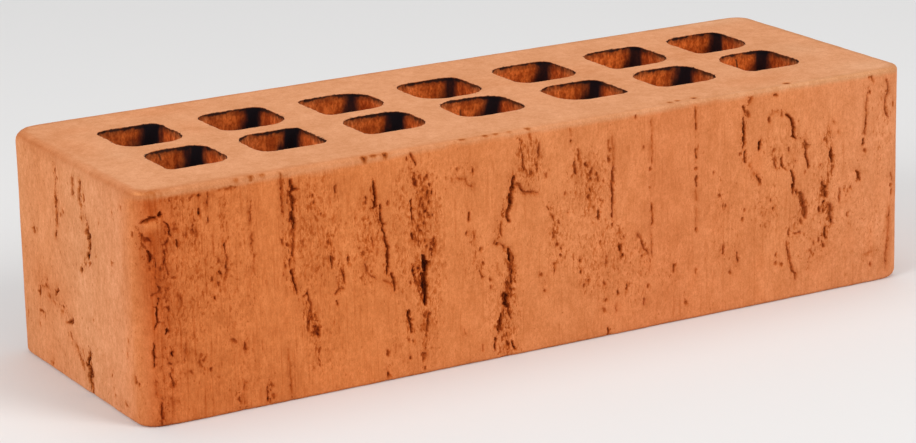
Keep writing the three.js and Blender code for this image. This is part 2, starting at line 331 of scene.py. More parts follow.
    (.7, .7, [(66.3, 61, .8), (67.5, 59.5, 1.2), (68.2, 58, .9)]),
    (.65, .5, [(69.2, 63.4, .6), (68.7, 62, .7)]),
    (.95, 1.1, [(66.2, 58, .6), (66.5, 55, .9), (66.7, 52, 1.0), (66.5, 49, .6)]),
    (.75, .8, [(67.1, 47.5, .7), (67.2, 44.5, .9)]),
    (.65, .7, [(71.3, 40, .8), (71.7, 38.8, 1.0), (72.5, 37.5, .7)]),
    (1.0, .9, [(72.2, 50, .8), (72.1, 48.8, 1.2), (72.1, 47.5, .8)]),
    (.65, .7, [(75.7, 56.2, .9), (75.7, 55.2, 1.1)]),
    (.25, .4, [(76, 57, .5), (78, 57.8, .6), (80, 57.5, .5)]),
    (.85, 1.2, [(81.5, 57, .5), (82.7, 55.6, 1.0), (83.6, 54.5, 1.4), (84.1, 52.5, 1.4), (84.2, 50, 1.2), (85, 48.8, .7)]),
    (.7, .6, [(77.3, 62.9, .8), (78.2, 62.9, .9)]),
    (.8, .7, [(80, 44, .6), (79.9, 42, .9), (80.5, 40.5, .8), (81.5, 40.2, .6)]),
    (.5, .6, [(77.5, 44, .8), (77.7, 42.4, 1.0), (77.9, 41, .7)]),
    (.95, 1.3, [(83.3, 39.7, .7), (84, 38.5, 1.4), (84.4, 36, 1.4), (84.2, 34, 1.0), (83.8, 32.7, .8)]),
    (.6, .8, [(84.2, 33.2, .8), (85, 33, .8), (86.5, 32.2, 1.0)]),
    (.56, 1.2, [(86.4, 32.2, 1.0), (87.1, 31, 1.8), (87.5, 29, 2.2), (88.2, 27, 2.0), (88.2, 24.3, 1.2)]),
    (.4, .6, [(86.8, 20.2, .8), (85, 20, .8)]),
    (.62, 1.0, [(88.3, 48, .8), (88.7, 45.5, 1.3), (88.8, 43, 1.1), (89.3, 41, .7), (89.7, 39.6, .5)]),
    (.8, .6, [(82.8, 22, .6), (82.4, 21, .8), (83, 19.8, .7)]),
    (.45, .7, [(81.8, 18, .6), (82.3, 16, .8), (82.8, 13.5, .9), (83.6, 11, .8), (84.2, 9, .8), (85.1, 8, .8), (85.2, 6, .6)]),
    (.55, .7, [(59.7, 20, .9), (59.6, 18.2, 1.0)]),
    (.75, .6, [(64.5, 17.5, .6), (64.5, 15, .7)]),
    # the right end
    (.8, 1.1, [(97.8, 43.9, 1.1), (97.8, 41.8, 1.5), (98.1, 40.3, .9)]),
    (.35, .6, [(98.1, 39, .6), (98.5, 37.5, .6)]),
    (.62, 1.0, [(94.5, 34, .9), (95.2, 32.5, 1.8), (95.7, 31, 2.1), (96.0, 29.6, 1.2)]),
    (1.0, .8, [(95.2, 28, .9), (94.5, 27, 1.0)]),
    (.7, .7, [(93.6, 26.6, .9), (93.6, 25.4, .9)]),
    (.52, 1.0, [(97, 27, .9), (97.6, 26.5, 1.4), (97.5, 24, 1.4), (97.9, 22.5, 1.3), (98.2, 21.3, .8)]),
    (.8, .8, [(96, 20, .8), (95.8, 18.5, 1.2), (96, 17, .8)]),
    (.7, .6, [(111.2, 63.3, .7), (112.5, 63.2, .8), (113, 62, .6)]),
    (.36, .6, [(111.4, 60.5, .5), (110.5, 56, .5), (110.6, 52, .6), (110.2, 49, .7), (109.9, 46.5, .9)]),
    (.95, 1.0, [(109.5, 45, 1.1), (109.5, 43.6, 1.2)]),
    (.9, .9, [(107.2, 35.5, .9), (107.8, 34.3, 1.2), (108.3, 33, .8)]),
    (.22, .6, [(117.7, 62, .5), (118.4, 60, .7), (118.2, 58, .7), (117.3, 55, .8), (117.3, 53, .8), (117.8, 51.5, .8), (118.7, 50.2, .6)]),
    (.3, .6, [(101, 31, .6), (101, 29.5, .8), (101, 27, .6)]),
    (.45, .6, [(119.9, 33, .7), (120.2, 31, .8)]),
    (.2, .5, [(119.5, 23, .6), (119.3, 19, .8), (119.4, 16, .7), (119, 14, .8), (118.6, 11, .7), (118.4, 8, .7), (118.2, 4, .5)]),
    (.4, .4, [(110.5, 9.5, .6), (113, 9.8, .7)]),
]

# single small pits on the front: (along, height, width)
FRONT_PITS = [
    (-103.8, 38.8, .9), (-102.2, 36.9, .9), (-103.3, 33.4, .8), (-105.6, 13.8, .9),
    (-81.5, 44.5, .9), (-82.2, 38.5, .9), (-74.5, 23, .8), (-73.5, 23, .8), (-73.3, 57, .8), (-73, 55, .8), (-71, 51, .8),
    (-69, 43, .8), (-50.5, 51, .9), (-58.5, 38, .8), (-55.8, 42, .7), (-56, 38.5, .7), (-45, 10.7, .9), (-43.6, 10.6, .8),
    (-44.8, 6, .9), (-51.7, 9, .8), (-51.8, 8, .8), (-51.3, 1.8, .8), (-44, 27.5, .9), (-42.3, 26.7, .9),
    (-40.5, 57, 1.0), (-39, 56, 1.1), (-38, 56.3, 1.2), (-37.5, 54, 1.0), (-39.3, 53.5, 1.1), (-37.8, 52, 1.0), (-36.8, 51.8, .8),
    (-40, 50.5, 1.0), (-39.6, 48.5, 1.1), (-37.6, 49, 1.1), (-39, 46.8, 1.0), (-38, 45.8, 1.0), (-36.8, 45.6, .8),
    (-41.2, 43, .9), (-39.2, 43.5, 1.0), (-40.8, 41.5, .9), (-38.5, 37, .8), (-37.7, 35.7, .7), (-39.2, 38.3, .8),
    (-41.5, 31, .9), (-41.3, 27.8, .9), (-40, 17, .9), (-41, 13, .8), (-39.5, 11, .8), (-40.3, 5.7, 1.6), (-40.2, 2, .9),
    (-23.6, 56, .8), (-28.5, 57, .8), (-26, 38.5, .8), (-21.8, 33, .8), (-21, 29, .8), (-18.7, 23.5, .8), (-18.5, 21.5, .8),
    (-13.6, 7, .9), (-8.3, 62.5, .8), (-5, 52.3, 1.1), (-3.3, 54.3, .8), (-3, 53, .8), (-1, 17.5, .8), (-2, 22.5, .8),
    (8, 59.7, .9), (16.5, 48.5, 1.0), (17, 47, .8), (14.3, 47.5, .9), (14.2, 44.7, .8), (13.7, 42.5, .8), (14.8, 41.2, .7), (18.8, 46.4, .6), (18.5, 40.2, .6),
    (17.8, 40.7, .9), (5.8, 44.6, .9), (3.8, 37, .8), (6.8, 39, .8), (4.4, 29, .8), (4.2, 27, .8), (3, 30.5, .8), (21, 55.3, .9),
    (20.7, 52.3, 1.2), (21.5, 33.2, .9), (17.5, 28.5, .9), (10.8, 24.3, 1.0), (10.8, 21, .9), (12, 16.5, .9), (18.7, 16.2, 1.0),
    (13.3, 18, .6), (25.5, 28.8, .9), (31.5, 22, .8), (23.3, 12.7, .9), (18.6, 8.3, .9), (19.2, 11, .8), (34.4, 47.7, 1.0),
    (32.4, 54, .8), (29.7, 63.3, .8), (33.5, 13, .8), (46.4, 5.7, 1.0),
    (50.1, 45.2, .9), (50.1, 27, .8), (56.1, 42.9, .9), (58.4, 35.7, .9), (60.3, 32.3, .9), (65.5, 47.2, .9), (68.9, 43.2, .9),
    (80, 56.7, .9), (77.2, 46.5, .9), (82.7, 46, .9), (85, 42, 1.0), (87.5, 23, .9), (88.4, 38.4, .8), (78.1, 14.6, 1.0),
    (78.2, 12, .8), (80.2, 11.2, 1.0), (61.9, 12, .8), (66.2, 27.3, .8), (66.9, 30, .8), (77.2, 28.7, .8), (76.5, 31.5, .8),
    (95.4, 47.1, 1.0), (96.3, 46.3, .9), (97, 36, .8), (94, 39.5, .8), (95.3, 25.8, .9), (95.4, 14.8, 1.2), (91.7, 16.3, .9),
    (93.5, 16.5, .9), (91, 13.5, .8), (90.8, 12, .8), (98.9, 52, .7), (97.5, 49, .7), (100.3, 48.5, .7), (111.8, 59, .8),
    (110.2, 41.4, 1.0), (120.3, 54, .9), (104, 30, .8), (105, 31, .8), (104, 22.8, .8), (119.8, 29.3, .9), (120.2, 27, .9),
    (112.5, 6, .9),
]

# the left header face, from front (-Y) to rear (+Y)
LEFT_TEARS = [
    (.7, .5, [(10.8, 53.4, .8), (10.9, 51.8, 1.2), (11.0, 50.2, 1.1)]),
    (.6, .5, [(10.7, 48.2, .8), (10.6, 44.8, .8)]),
    (1.0, .8, [(10.9, 42.4, 1.2), (11.4, 41.5, 1.6)]),
    (.9, .6, [(27.3, 39.5, 1.0), (27.3, 38.6, 1.3)]),
    (1.0, .5, [(25.4, 22.5, 1.0), (25.6, 21.0, 1.7)]),
    (.5, .5, [(24.6, 23.4, .5), (22.3, 23.7, .7)]),
    (.8, .6, [(21.6, 24.1, .9), (20.4, 24.3, 1.1)]),
    (.95, 1.0, [(13.9, 23.8, 1.2), (13.5, 24.2, 1.5), (12.0, 25.3, .7)]),
    (.65, .5, [(9.5, 21, .8), (8.5, 21.3, .7)]),
    (.9, 1.0, [(2.5, 19.3, 1.3), (2.9, 18.7, 1.7), (4.9, 17.7, .9), (7.9, 17.1, .5)]),
    (.4, .3, [(1.7, 12.2, 1.0), (.8, 10.9, 1.1)]),
    (.45, .3, [(-3.0, 11.7, 1.0), (-3.8, 10.8, .9)]),
    (.4, .3, [(-1.6, 8.4, .9), (-3.0, 7.6, 1.1), (-3.4, 6.6, .8)]),
    (.4, .3, [(10.7, 19.4, .9), (9.7, 19.4, .7)]),
    (.3, .3, [(16.4, 20.8, .9), (14.6, 20.7, .8)]),
    (.9, .4, [(24.2, 15.7, .7), (26.3, 15.7, .8)]),
    (.9, .8, [(-1.8, 60.5, .8), (-1.7, 58, 1.2), (-1.7, 56, .8)]),
    (.8, .8, [(-7, 61, .8), (-6.6, 59, 1.2), (-5.7, 57, 1.1), (-6.3, 54.4, .8)]),
    (.95, .6, [(-8.9, 57.2, 1.1), (-9.2, 56.2, 1.2)]),
    (.9, .7, [(-11.5, 49.2, .9), (-10.8, 48.2, 1.3), (-8.9, 46.8, 1.2)]),
    (1.0, 1.1, [(-12.7, 47.2, 1.1), (-11.7, 46.6, 1.7), (-10.2, 45.9, 1.4)]),
    (.9, .8, [(-12.2, 45.9, 1.2), (-11.6, 44.4, 1.8), (-11.0, 42.8, 1.2)]),
    (1.0, .8, [(-10.1, 40.9, 1.3), (-9.8, 40.2, 1.5)]),
    (.9, .6, [(-11.6, 39.1, .8), (-10.5, 38.5, 1.0)]),
    (.8, .5, [(-8.5, 38, .5), (-7, 37.5, .5)]),
    (1.0, .9, [(-5.6, 35.9, 1.3), (-5.1, 35.4, 1.8)]),
    (1.0, 1.0, [(-7.8, 12.0, 1.3), (-7.2, 11.0, 1.9), (-6.4, 9.8, 1.8)]),
    (.95, 1.0, [(-4.9, 8.4, 1.2), (-6.6, 8.4, 2.2), (-7.2, 6.6, 2.7), (-6.8, 5, 2.6), (-7.2, 4, 1.6)]),
    (.65, .6, [(-7.2, 4, 1.4), (-7.7, 2.7, 1.4), (-8.4, 1.5, 1.2)]),
    (.4, .3, [(-.4, 9.4, .6), (-1.2, 8.8, .7)]),
    (.7, .3, [(10, 60.6, .7), (10, 59.4, .7)]),
    (.6, .7, [(-37.7, 13.8, 1.2), (-37.7, 12.8, 1.3)]),
]
LEFT_PITS = [
    (8.8, 58, .8), (5.7, 49.5, 1.5), (7.4, 47.8, .9), (18.4, 21.5, 1.0), (5.0, 13.9, 1.3), (35, 13, .8), (26.5, 11.5, .7), (19, 2, .7),
    (-6.8, 54, .9), (-6.5, 50.5, .9), (-18.3, 51.7, .7), (-33.3, 59.3, .7), (-27.5, 57, .7), (-25.8, 42.3, .7), (-11.7, 22.8, .7),
    (-33.2, 18.8, .7), (-33.9, 23, .7), (-40, 12.3, .9), (-40, 53.7, .8), (-30.2, 4.2, .8), (-22, 10, .7), (-23.7, 4.8, .7),
]

# Scarred bands: wider, shallow, ragged places where the skin of the clay was dragged open, browned in the kiln.
# Each is (strength, [(along the face, height, width) ...]).
FRONT_SCARS = [
    (.30, [(-123.8, 54.0, 1.3), (-122.8, 52.4, 2.3), (-123.2, 50.4, 1.4), (-122.2, 48.6, 1.2)]),
    (.26, [(-9.4, 63.4, .8), (-6.4, 64.0, 1.0), (-3.4, 63.9, 1.0), (-1.6, 63.3, .7)]),
    (.24, [(8.0, 64.0, .8), (8.2, 61.6, .9)]),
    (.22, [(20.4, 63.6, .8), (20.2, 61.8, .9)]),
    (.34, [(-82, 65, 4.0), (-80, 60, 4.2), (-80, 54, 3.2), (-80, 48, 2.4), (-80.5, 40, 2.3), (-80, 33, 2.3), (-77.5, 29, 2.4), (-75.5, 24, 3.8), (-74, 19, 4.2), (-73.5, 16.5, 2.2), (-72.5, 9, 1.2)]),
    (.38, [(-82.6, 65, 1.2), (-82.4, 54, 1.6), (-82.4, 42, 1.2), (-82, 30, .9)]),
    (.18, [(-91.5, 64, 1.4), (-91.5, 50, 1.9), (-91.5, 36, 1.0)]),
    (.14, [(-99.5, 60, 1.8), (-100, 50, 2.4), (-100, 42, 2.4), (-101, 37, 1.4)]),
    (.1, [(-104.5, 63, 1.4), (-104.6, 50, 1.2), (-105, 30, .8)]),
    (.12, [(-108, 57, 2.4), (-109, 50, 2.6), (-107, 40, 1.6)]),
    (.32, [(-55, 58, 1.8), (-54.5, 52, 2.5), (-53, 46, 2.2), (-51.5, 38, 2.0), (-51, 31, 2.2), (-49.8, 26, 1.7)]),
    (.1, [(-57, 48, 1.8), (-57.5, 40, 2.8), (-56.5, 33, 2.4), (-55, 26, 1.4)]),
    (.26, [(-44.0, 62.6, 2.0), (-42.0, 57, 2.8), (-39.7, 53, 4.6), (-39.9, 47, 4.8), (-41, 42, 4.2), (-41.9, 38, 2.0)]),
    (.42, [(-37, 38, 2.0), (-36.5, 34, 1.1)]),
    (.40, [(-42.0, 32, 2.6), (-41.4, 28, 4.2), (-40.2, 22, 2.4)]),
    (.48, [(-45, 19, 1.5), (-44.5, 14, 1.7)]),
    (.24, [(-39, 18, 1.6), (-40, 13, 2.2), (-40.2, 6, 1.9), (-40.6, 1, 1.4)]),
    (.42, [(-11, 53, 1.5), (-11.5, 48, 3.2), (-13.5, 43, 3.2), (-15.5, 38, 2.8), (-17, 34.5, 2.0), (-14.5, 33, 1.9), (-12.5, 30, 2.9), (-11.5, 25, 2.9), (-12.8, 20, 3.8), (-14.0, 14, 3.6)]),
    (.30, [(-14.0, 14, 3.6), (-14.7, 9, 3.8), (-14.4, 3, 4.0), (-13.6, 0, 4.2)]),
    (.20, [(-8, 64, 1.8), (-8, 58, 2.0), (-7.5, 54, 1.9), (-6, 51, 1.6)]),
    (.08, [(-5, 63, 4.6), (-4, 57, 4.2), (-4, 52, 3.6)]),
    (.20, [(-10, 49, 1.4), (-8, 47.5, 1.5), (-5, 46.8, 1.3), (-2, 47.5, 1.0)]),
    (.16, [(8, 64, 1.5), (8.5, 59, 1.7), (10, 54, 2.1), (12, 51, 2.8), (14.2, 48, 2.6), (13.9, 44, 2.4), (14.2, 40, 1.7), (17, 37, 1.1)]),
    (.18, [(21, 62, 1.5), (21.5, 55, 1.9), (21.7, 50, 1.5), (21.6, 42, 1.4), (21.4, 35, 1.2)]),
    (.22, [(.5, 43, 1.9), (2, 38, 2.0), (3.1, 33, 1.6), (4.2, 29, 1.7)]),
    (.3, [(2, 25, 1.9), (-1, 19, 2.3)]),
    (.2, [(-25.2, 45, 1.5), (-24.5, 38, 2.0), (-22.5, 31, 1.8), (-20.5, 24, 1.4)]),
    (.1, [(-30, 55.5, 1.4), (-27, 54, 2.2), (-24, 52, 1.6)]),
    (.24, [(24, 31, 1.5), (24.2, 26, 1.9), (25, 23, 1.3)]),
    (.16, [(30, 30, 1.2), (32, 26, 1.9), (34, 20, 1.9), (34.5, 17, 1.3)]),
    (.38, [(68.5, 64, 2.0), (67.5, 60, 2.4), (66.5, 55, 1.8), (66.5, 48, 1.7), (68.5, 43, 2.0), (71.5, 38.5, 1.8)]),
    (.24, [(75, 57, 1.1), (78, 58.3, 1.4), (81, 57.5, 1.7), (83.5, 54, 2.1), (85, 50, 1.9), (87.5, 48, 2.8), (89, 43, 2.3), (90, 39, 1.4)]),
    (.2, [(77.5, 44.5, 2.8), (80, 42, 2.8), (82, 40.5, 1.8)]),
    (.28, [(83.8, 40, 1.9), (84.2, 36, 2.5), (86, 32.5, 2.9), (88.3, 28, 3.1), (86.5, 23.5, 2.9), (83.5, 20.5, 1.9), (82.3, 16, 1.5), (83.3, 11, 1.5), (85.3, 7, 1.6)]),
    (.26, [(97, 52, 2.3), (97, 48, 3.3), (98, 43, 2.1), (98.3, 38, 1.9), (95.5, 33, 3.8), (94.5, 28, 3.3), (96.8, 25, 3.3), (97.5, 21, 1.9), (95.8, 18, 2.4), (94, 14.5, 2.3), (91, 12.5, 1.8), (90, 9, 1.2)]),
    (.22, [(113, 64, 1.9), (111, 60, 1.5), (110.5, 52, 1.3), (110, 45, 1.7), (109.5, 41, 1.1)]),
    (.26, [(107.3, 36, 1.8), (108.2, 33, 1.5)]),
    (.18, [(103, 31, 2.6), (106, 30.5, 1.8)]),
    (.14, [(118, 63, 1.5), (118, 57, 1.7), (117.5, 52, 2.0)]),
    (.18, [(120.6, 35, 1.6), (119.8, 22, 1.9), (119.3, 14, 2.0), (118.8, 5, 1.8)]),
    (.15, [(-121, 61, 2.6), (-119, 58, 3.2), (-116.8, 55, 2.4), (-116.8, 50, 2.8), (-117.2, 44, 2.4), (-117.6, 38, 2.0), (-117.8, 30, 1.6), (-117.6, 20, 1.4), (-116.8, 12, 1.6)]),
    (.48, [(-124, 55, 2.8), (-123.5, 49, 3.0), (-122, 44, 1.6)]),
    (.22, [(-124, 62.1, 1.5), (-110, 62.0, 1.3), (-96, 62.4, .9)]),
    (.35, [(-97.5, 5, 2.2), (-96, 1, 3.2)]),
    (.42, [(-88.3, 7, 1.8), (-88, 2, 2.6)]),
    (.30, [(-120, 5, 1.6), (-120, 0, 2.6)]),
    (.2, [(-81.8, 12, .9), (-81.8, 1, 1.6)]),
    (.33, [(-52, 4, 1.8), (-51.5, 0, 2.8)]),
    (.25, [(20, 3, 2.2), (20, 0, 2.8)]),
    (.24, [(35.1, 62, .6), (35.1, 48, 1.0), (35, 38, 1.1), (35, 30, 1.2)]),
    (.2, [(50.1, 64, .9), (50.1, 40, 1.2), (50.1, 26, .7)]),
    (.36, [(-66, 37, 2.2), (-65, 33, 2.6), (-66, 28.5, 2.0)]),
    (.2, [(-69.5, 45, 1.5), (-68, 38, 1.7)]),
    (.1, [(-74, 57, 2.6), (-72, 50, 2.3)]),
    (.24, [(42, 18.5, 1.5), (42.2, 15, 1.5)]),
    (.26, [(64.5, 19, 1.4), (64, 14, 1.8)]),
    (.1, [(59.5, 20.5, 1.4), (59.6, 17.5, 1.4)]),
    (.18, [(58.5, 37, 1.4), (60, 31, 1.7)]),
    (.18, [(72, 31, 1.8), (74, 27, 2.7), (76, 23, 1.8)]),
    (.3, [(72, 51, 1.4), (72.1, 47, 1.5)]),
    (.2, [(78.3, 15, 1.4), (80, 11, 1.8)]),
    (.22, [(46, 8, 1.5), (46.3, 4, 1.7)]),
    (.22, [(-108.3, 18, 2.2), (-107.6, 14.5, 2.2)]),
    (.1, [(-98.5, 21, 2.0), (-95, 18, 2.2)]),
]
LEFT_SCARS = [
    (.42, [(10.3, 62, 2.0), (10.6, 52, 2.4), (10.8, 44, 2.2)]),
    (.28, [(-1.7, 62, 1.6), (-1.7, 56, 1.6)]),
    (.32, [(-7, 61.5, 2.4), (-7, 56, 3.0), (-8, 50, 2.6)]),
    (.50, [(-9.5, 50, 2.2), (-10.8, 46.6, 3.6), (-10.8, 43, 2.4), (-9.6, 39.4, 1.8), (-6.2, 36.2, 1.6)]),
    (.24, [(25.6, 21.6, 2.6), (21, 24, 1.9), (14, 24, 1.8), (12, 25, 1.2)]),
    (.18, [(10, 21.5, 2.6), (4, 18.5, 2.6), (8.5, 17, 1.6)]),
    (.30, [(12.5, 21.2, 1.4), (9.5, 20.2, 1.7), (7.6, 19.2, 1.4)]),
    (.30, [(23.5, 25.6, 1.8), (20.5, 26.4, 1.6)]),
    (.40, [(6, 14, 2.4), (1, 11.0, 2.8), (-2, 8.6, 2.6), (-2.5, 6.5, 1.6)]),
    (.56, [(-7.4, 12.5, 2.6), (-6.7, 9, 4.0), (-7.2, 5, 4.4), (-7.8, 1, 3.2)]),
    (.2, [(27, 40, 2.0), (25.5, 38, 1.6)]),
    (.34, [(26, 16, 2.6), (24, 15.5, 1.6)]),
    (.12, [(36, 13.5, 2.4), (33, 12, 1.6)]),
    (.14, [(-37.7, 14, 2.0), (-39, 12, 2.0)]),
    (.16, [(19, 3, 2.4), (19, 0, 2.4)]),
]
# Where small pecks crowd together on the front: (x, z, half-width, half-height, density)
PECKS = [
    (-112, 40, 9, 30, .94), (-98, 40, 10, 28, .69), (-98, 12, 14, 12, .56), (-72, 46, 9, 18, 1.0), (-72, 16, 9, 14, .56), (-58, 40, 6, 16, .94),
    (-46, 42, 4, 24, .94), (-46, 10, 6, 12, .62), (-38, 34, 6, 34, 1.0), (-27, 55, 7, 5, .69), (-23, 30, 6, 12, .56), (-14, 14, 7, 20, .75), (-5, 55, 6, 9, .94),
    (5, 33, 6, 14, .75), (14, 46, 8, 12, 1.0), (18, 24, 12, 14, .88), (30, 18, 7, 14, .69), (42, 20, 8, 12, .44), (60, 28, 8, 20, .44), (75, 30, 7, 12, .62),
    (80, 46, 8, 8, .69), (88, 22, 8, 14, .56), (96, 30, 6, 24, .69), (106, 26, 7, 12, .50), (113, 14, 8, 14, .50), (117, 46, 5, 18, .56), (-118, 12, 6, 14, .75),
]
# Small dents in the top bed by its front edge, darkened with painted shade: (x, y, half length, half width, how dark)
NICKS = [(-95.3, -41.9, .9, .45, .40), (-91.0, -41.9, .8, .45, .60), (-87.6, -41.9, .9, .45, .45), (-57.0, -41.9, .9, .50, .90),
         (-54.0, -41.8, 1.3, .40, .62), (-50.6, -41.9, 1.0, .50, .85), (-26.3, -41.5, 1.0, .55, .60), (-18.9, -41.5, .9, .55, .70),
         (-15.6, -41.5, .9, .50, .50), (-11.4, -41.6, .8, .50, .30), (-5.2, -41.4, .9, .70, .75), (43.3, -39.6, .9, .80, .50),
         (46.1, -39.2, .8, .75, .60), (51.7, -39.2, .8, .80, .80), (83.6, -39.9, 1.1, .90, .80)]

# ---------------------------------------------------------------------------------------------
# The relief, worked out on a grid over the girth (u) and the height (z)
# ---------------------------------------------------------------------------------------------
NU = 2352                                   # columns round the girth, 0.28 mm apart
DU = GIRTH / NU
NZ = 261                                    # rows of the relief grid, 0.25 mm apart
US = np.arange(NU) * DU
ZS = np.linspace(0, H, NZ)
GU, GZ = np.meshgrid(US, ZS)

warp_u = 0.30 * girth_noise(GU, GZ, 1.3, 1.7, 11) + 0.14 * girth_noise(GU, GZ, 0.6, 0.8, 12)
warp_z = 0.45 * girth_noise(GU, GZ, 1.6, 2.2, 13)
jag = 0.70 * girth_noise(GU, GZ, 1.1, 2.2, 14) + 0.35 * girth_noise(GU, GZ, 0.6, 1.0, 15)
crumb = 0.5 + 0.5 * np.clip(0.9 * girth_noise(GU, GZ, 0.75, 1.8, 16) + 0.7 * girth_noise(GU, GZ, 1.5, 5.0, 17), -1, 1)
gap = np.zeros_like(GU)                     # depth of the tears
# the tears' darkness is partly dark clay and partly painted shade in them
dark = np.zeros_like(GU)                    # how dark they are inside
near = np.full_like(GU, 9.0)                # distance to the nearest tear's edge
lit_edge = np.zeros_like(GU)                # painted highlight along the lips of the deeper tears
scar = np.zeros_like(GU)                    # strength of the scarred bands


def stroke(points, rough):
    """Distance field, in a window of the grid, to the ragged edge of a stroke along points (u, z, width)."""
    pts = np.array(points, float)
    if len(pts) == 1:
        pts = np.vstack([pts + [[0, 0.25, 0]], pts - [[0, 0.25, 0]]])
    reach = 2.2 + pts[:, 2].max()
    j0 = int(math.floor((pts[:, 0].min() - reach) / DU))
    j1 = int(math.ceil((pts[:, 0].max() + reach) / DU)) + 1
    i0, i1 = np.searchsorted(ZS, [pts[:, 1].min() - reach, pts[:, 1].max() + reach])
    cols = np.arange(j0, j1)
    at = np.ix_(np.arange(i0, i1), np.mod(cols, NU))
    u = cols[None, :] * DU + warp_u[at]
    z = ZS[i0:i1, None] + warp_z[at]
    best = np.full(u.shape, 9.0)
    for (ua, za, wa), (ub, zb, wb) in zip(pts[:-1], pts[1:]):
        t = np.clip(((u - ua) * (ub - ua) + (z - za) * (zb - za)) / max((ub - ua) ** 2 + (zb - za) ** 2, 1e-9), 0, 1)
        w = wa + (wb - wa) * t
        d = np.hypot(u - ua - t * (ub - ua), z - za - t * (zb - za)) - w * (0.5 + rough * jag[at])
        best = np.minimum(best, d)
    return at, best


def press(points, dark_k, deep):
    """Opens one tear along points (u, z, width)."""
    at, best = stroke(points, 0.42)
    k = np.interp(dark_k, [.2, .4, .6, .75, .9, 1.0], [.15, .30, .46, .60, .78, .95])
    k = k * (1 - (0.35 if dark_k < .97 else 0.1) * (1 - crumb[at]))
    gap[at] = np.maximum(gap[at], deep * smooth(0.10, -0.32, best))
    dark[at] = np.maximum(dark[at], k * smooth(0.08, -0.16, best))
    near[at] = np.minimum(near[at], best)
    if dark_k > .6:
        lit_edge[at] = np.maximum(lit_edge[at], np.exp(-((best - .50) / .30) ** 2))


def drag(points, strength):
    """Scars a band along points (u, z, width)."""
    at, best = stroke(points, 0.34)
    scar[at] = np.maximum(scar[at], strength * smooth(0.60, -0.50, best + 0.8 * (0.5 - crumb[at])))


# The lists give the marks as they look from the front left, laid flat on the face. A mark lies
# behind the face, so its real place is a little further to the right of the front and lower,
# or further to the rear of the left header, the more the deeper it is.
def behind_front(line, deep, scale):
    return [(float(from_front(x + .14 + .26 * deep)), z - .10 - .20 * deep, w * scale) for x, z, w in line]


def behind_left(line, deep, scale):
    return [(float(from_left(y + .20 + .45 * deep)), z - .12 - .24 * deep, w * scale) for y, z, w in line]


for k, deep, line in FRONT_TEARS:
    press(behind_front(line, deep, .84), k, deep)
for x, z, w in FRONT_PITS:
    press(behind_front([(x, z, w)], .3 + .2 * w, .8), .68, .3 + .2 * w)
for k, deep, line in LEFT_TEARS:
    press(behind_left(line, deep, .84), k, deep)
for y, z, w in LEFT_PITS:
    press(behind_left([(y, z, w)], .35, .8), .82, .35)
for k, line in FRONT_SCARS:
    drag(behind_front(line, .3, .8), k)
for k, line in LEFT_SCARS:
    drag(behind_left(line, .3, .8), k)

# The rear stretcher face and the right header face carry the same texture, grown from a seed.
rng = np.random.default_rng(417)
CROWDS = []                                 # where small pecks crowd together on them


def grow(u0, u1, longs, mids, spots):
    centres = np.sort(rng.uniform(u0, u1, max(longs // 3, 1)))
    for n in range(longs):
        u = rng.normal(centres[n % len(centres)], 3.0)
        z = rng.uniform(18, 63)
        length, lean = rng.uniform(7, 22), rng.normal(0, 0.16)
        big = rng.random() < 0.4
        line, run = [], 0.0
        while run < length and z > 2:
            w = rng.uniform(.9, 1.8) if big else rng.uniform(.5, 1.0)
            line.append((u, z, w))
            step = rng.uniform(1.2, 2.8)
            u += step * lean + rng.normal(0, .45)
            z -= step
            run += step
        if len(line) > 1:
            line[0] = line[0][:2] + (.5,)
            line[-1] = line[-1][:2] + (.4,)
            drag([(a, b, (2.6 if big else 1.5) * rng.uniform(.7, 1.3)) for a, b, c in line], rng.uniform(.32, .46) if big else rng.uniform(.18, .3))
            press(line, rng.uniform(.85, 1.0) if big else rng.uniform(.55, .85), rng.uniform(.9, 1.4) if big else rng.uniform(.4, .8))
    CROWDS.extend((u, rng.uniform(20, 50), rng.uniform(4, 8), rng.uniform(12, 26), rng.uniform(.7, 1.0)) for u in centres)

    def place():
        beside = centres[rng.integers(len(centres))] + rng.normal(0, 4.5)
        return float(np.clip(beside, u0, u1)) if rng.random() < .72 else rng.uniform(u0, u1)

    for n in range(mids):
        u, z, w = place(), rng.uniform(3, 63), rng.uniform(.5, 1.0)
        length = rng.uniform(1.2, 4.5)
        press([(u, z, w * .7), (u + rng.normal(0, .25), z - length / 2, w), (u + rng.normal(0, .35), z - length, w * .6)],
              rng.uniform(.5, .9), rng.uniform(.4, .8))
    for n in range(spots):
        u, z, w = place(), rng.uniform(2, 63), rng.uniform(.45, .85)
        press([(u, z, w), (u + rng.normal(0, .12), z - rng.uniform(.3, 1.2), w * .8)], rng.uniform(.4, .8), rng.uniform(.3, .6))


grow(U_H - 3, U_H + U_A + 119 + 3, 38, 62, 84)         # rear, across the seam of the girth
grow(U_E + 6, U_H - 3, 8, 12, 18)                       # right header face


def lump(x, z, sx, sz, high):
    return high * np.exp(-((GU - x) / sx) ** 2 - ((GZ - z) / sz) ** 2)


def front(x):
    return float(from_front(x))


on_front = smooth(U_C + 3, U_D, GU) * (1 - smooth(U_E + 3, U_F, GU))
on_left = smooth(U_A + 3, U_B + 1, GU) * (1 - smooth(U_C, U_D - 2, GU))
on_rear = 1 - smooth(U_A, U_B, GU) * (1 - smooth(U_G, U_H, GU))
x_front = np.clip(GU - U_D - (L / 2 - RC), -L / 2, L / 2)       # along the front, roughly

# Where the bark grain is strong: the left third of the front, fading to the right.
bark = on_front * (0.45 + 0.55 * (1 - smooth(-85, -30, x_front))) + 0.35 * on_left + 0.45 * on_rear
bark = np.clip(bark + 0.25 * girth_noise(GU, GZ, 22, 26, 21) * bark, 0, 1) * (1 - smooth(62.2, 63.6, GZ))

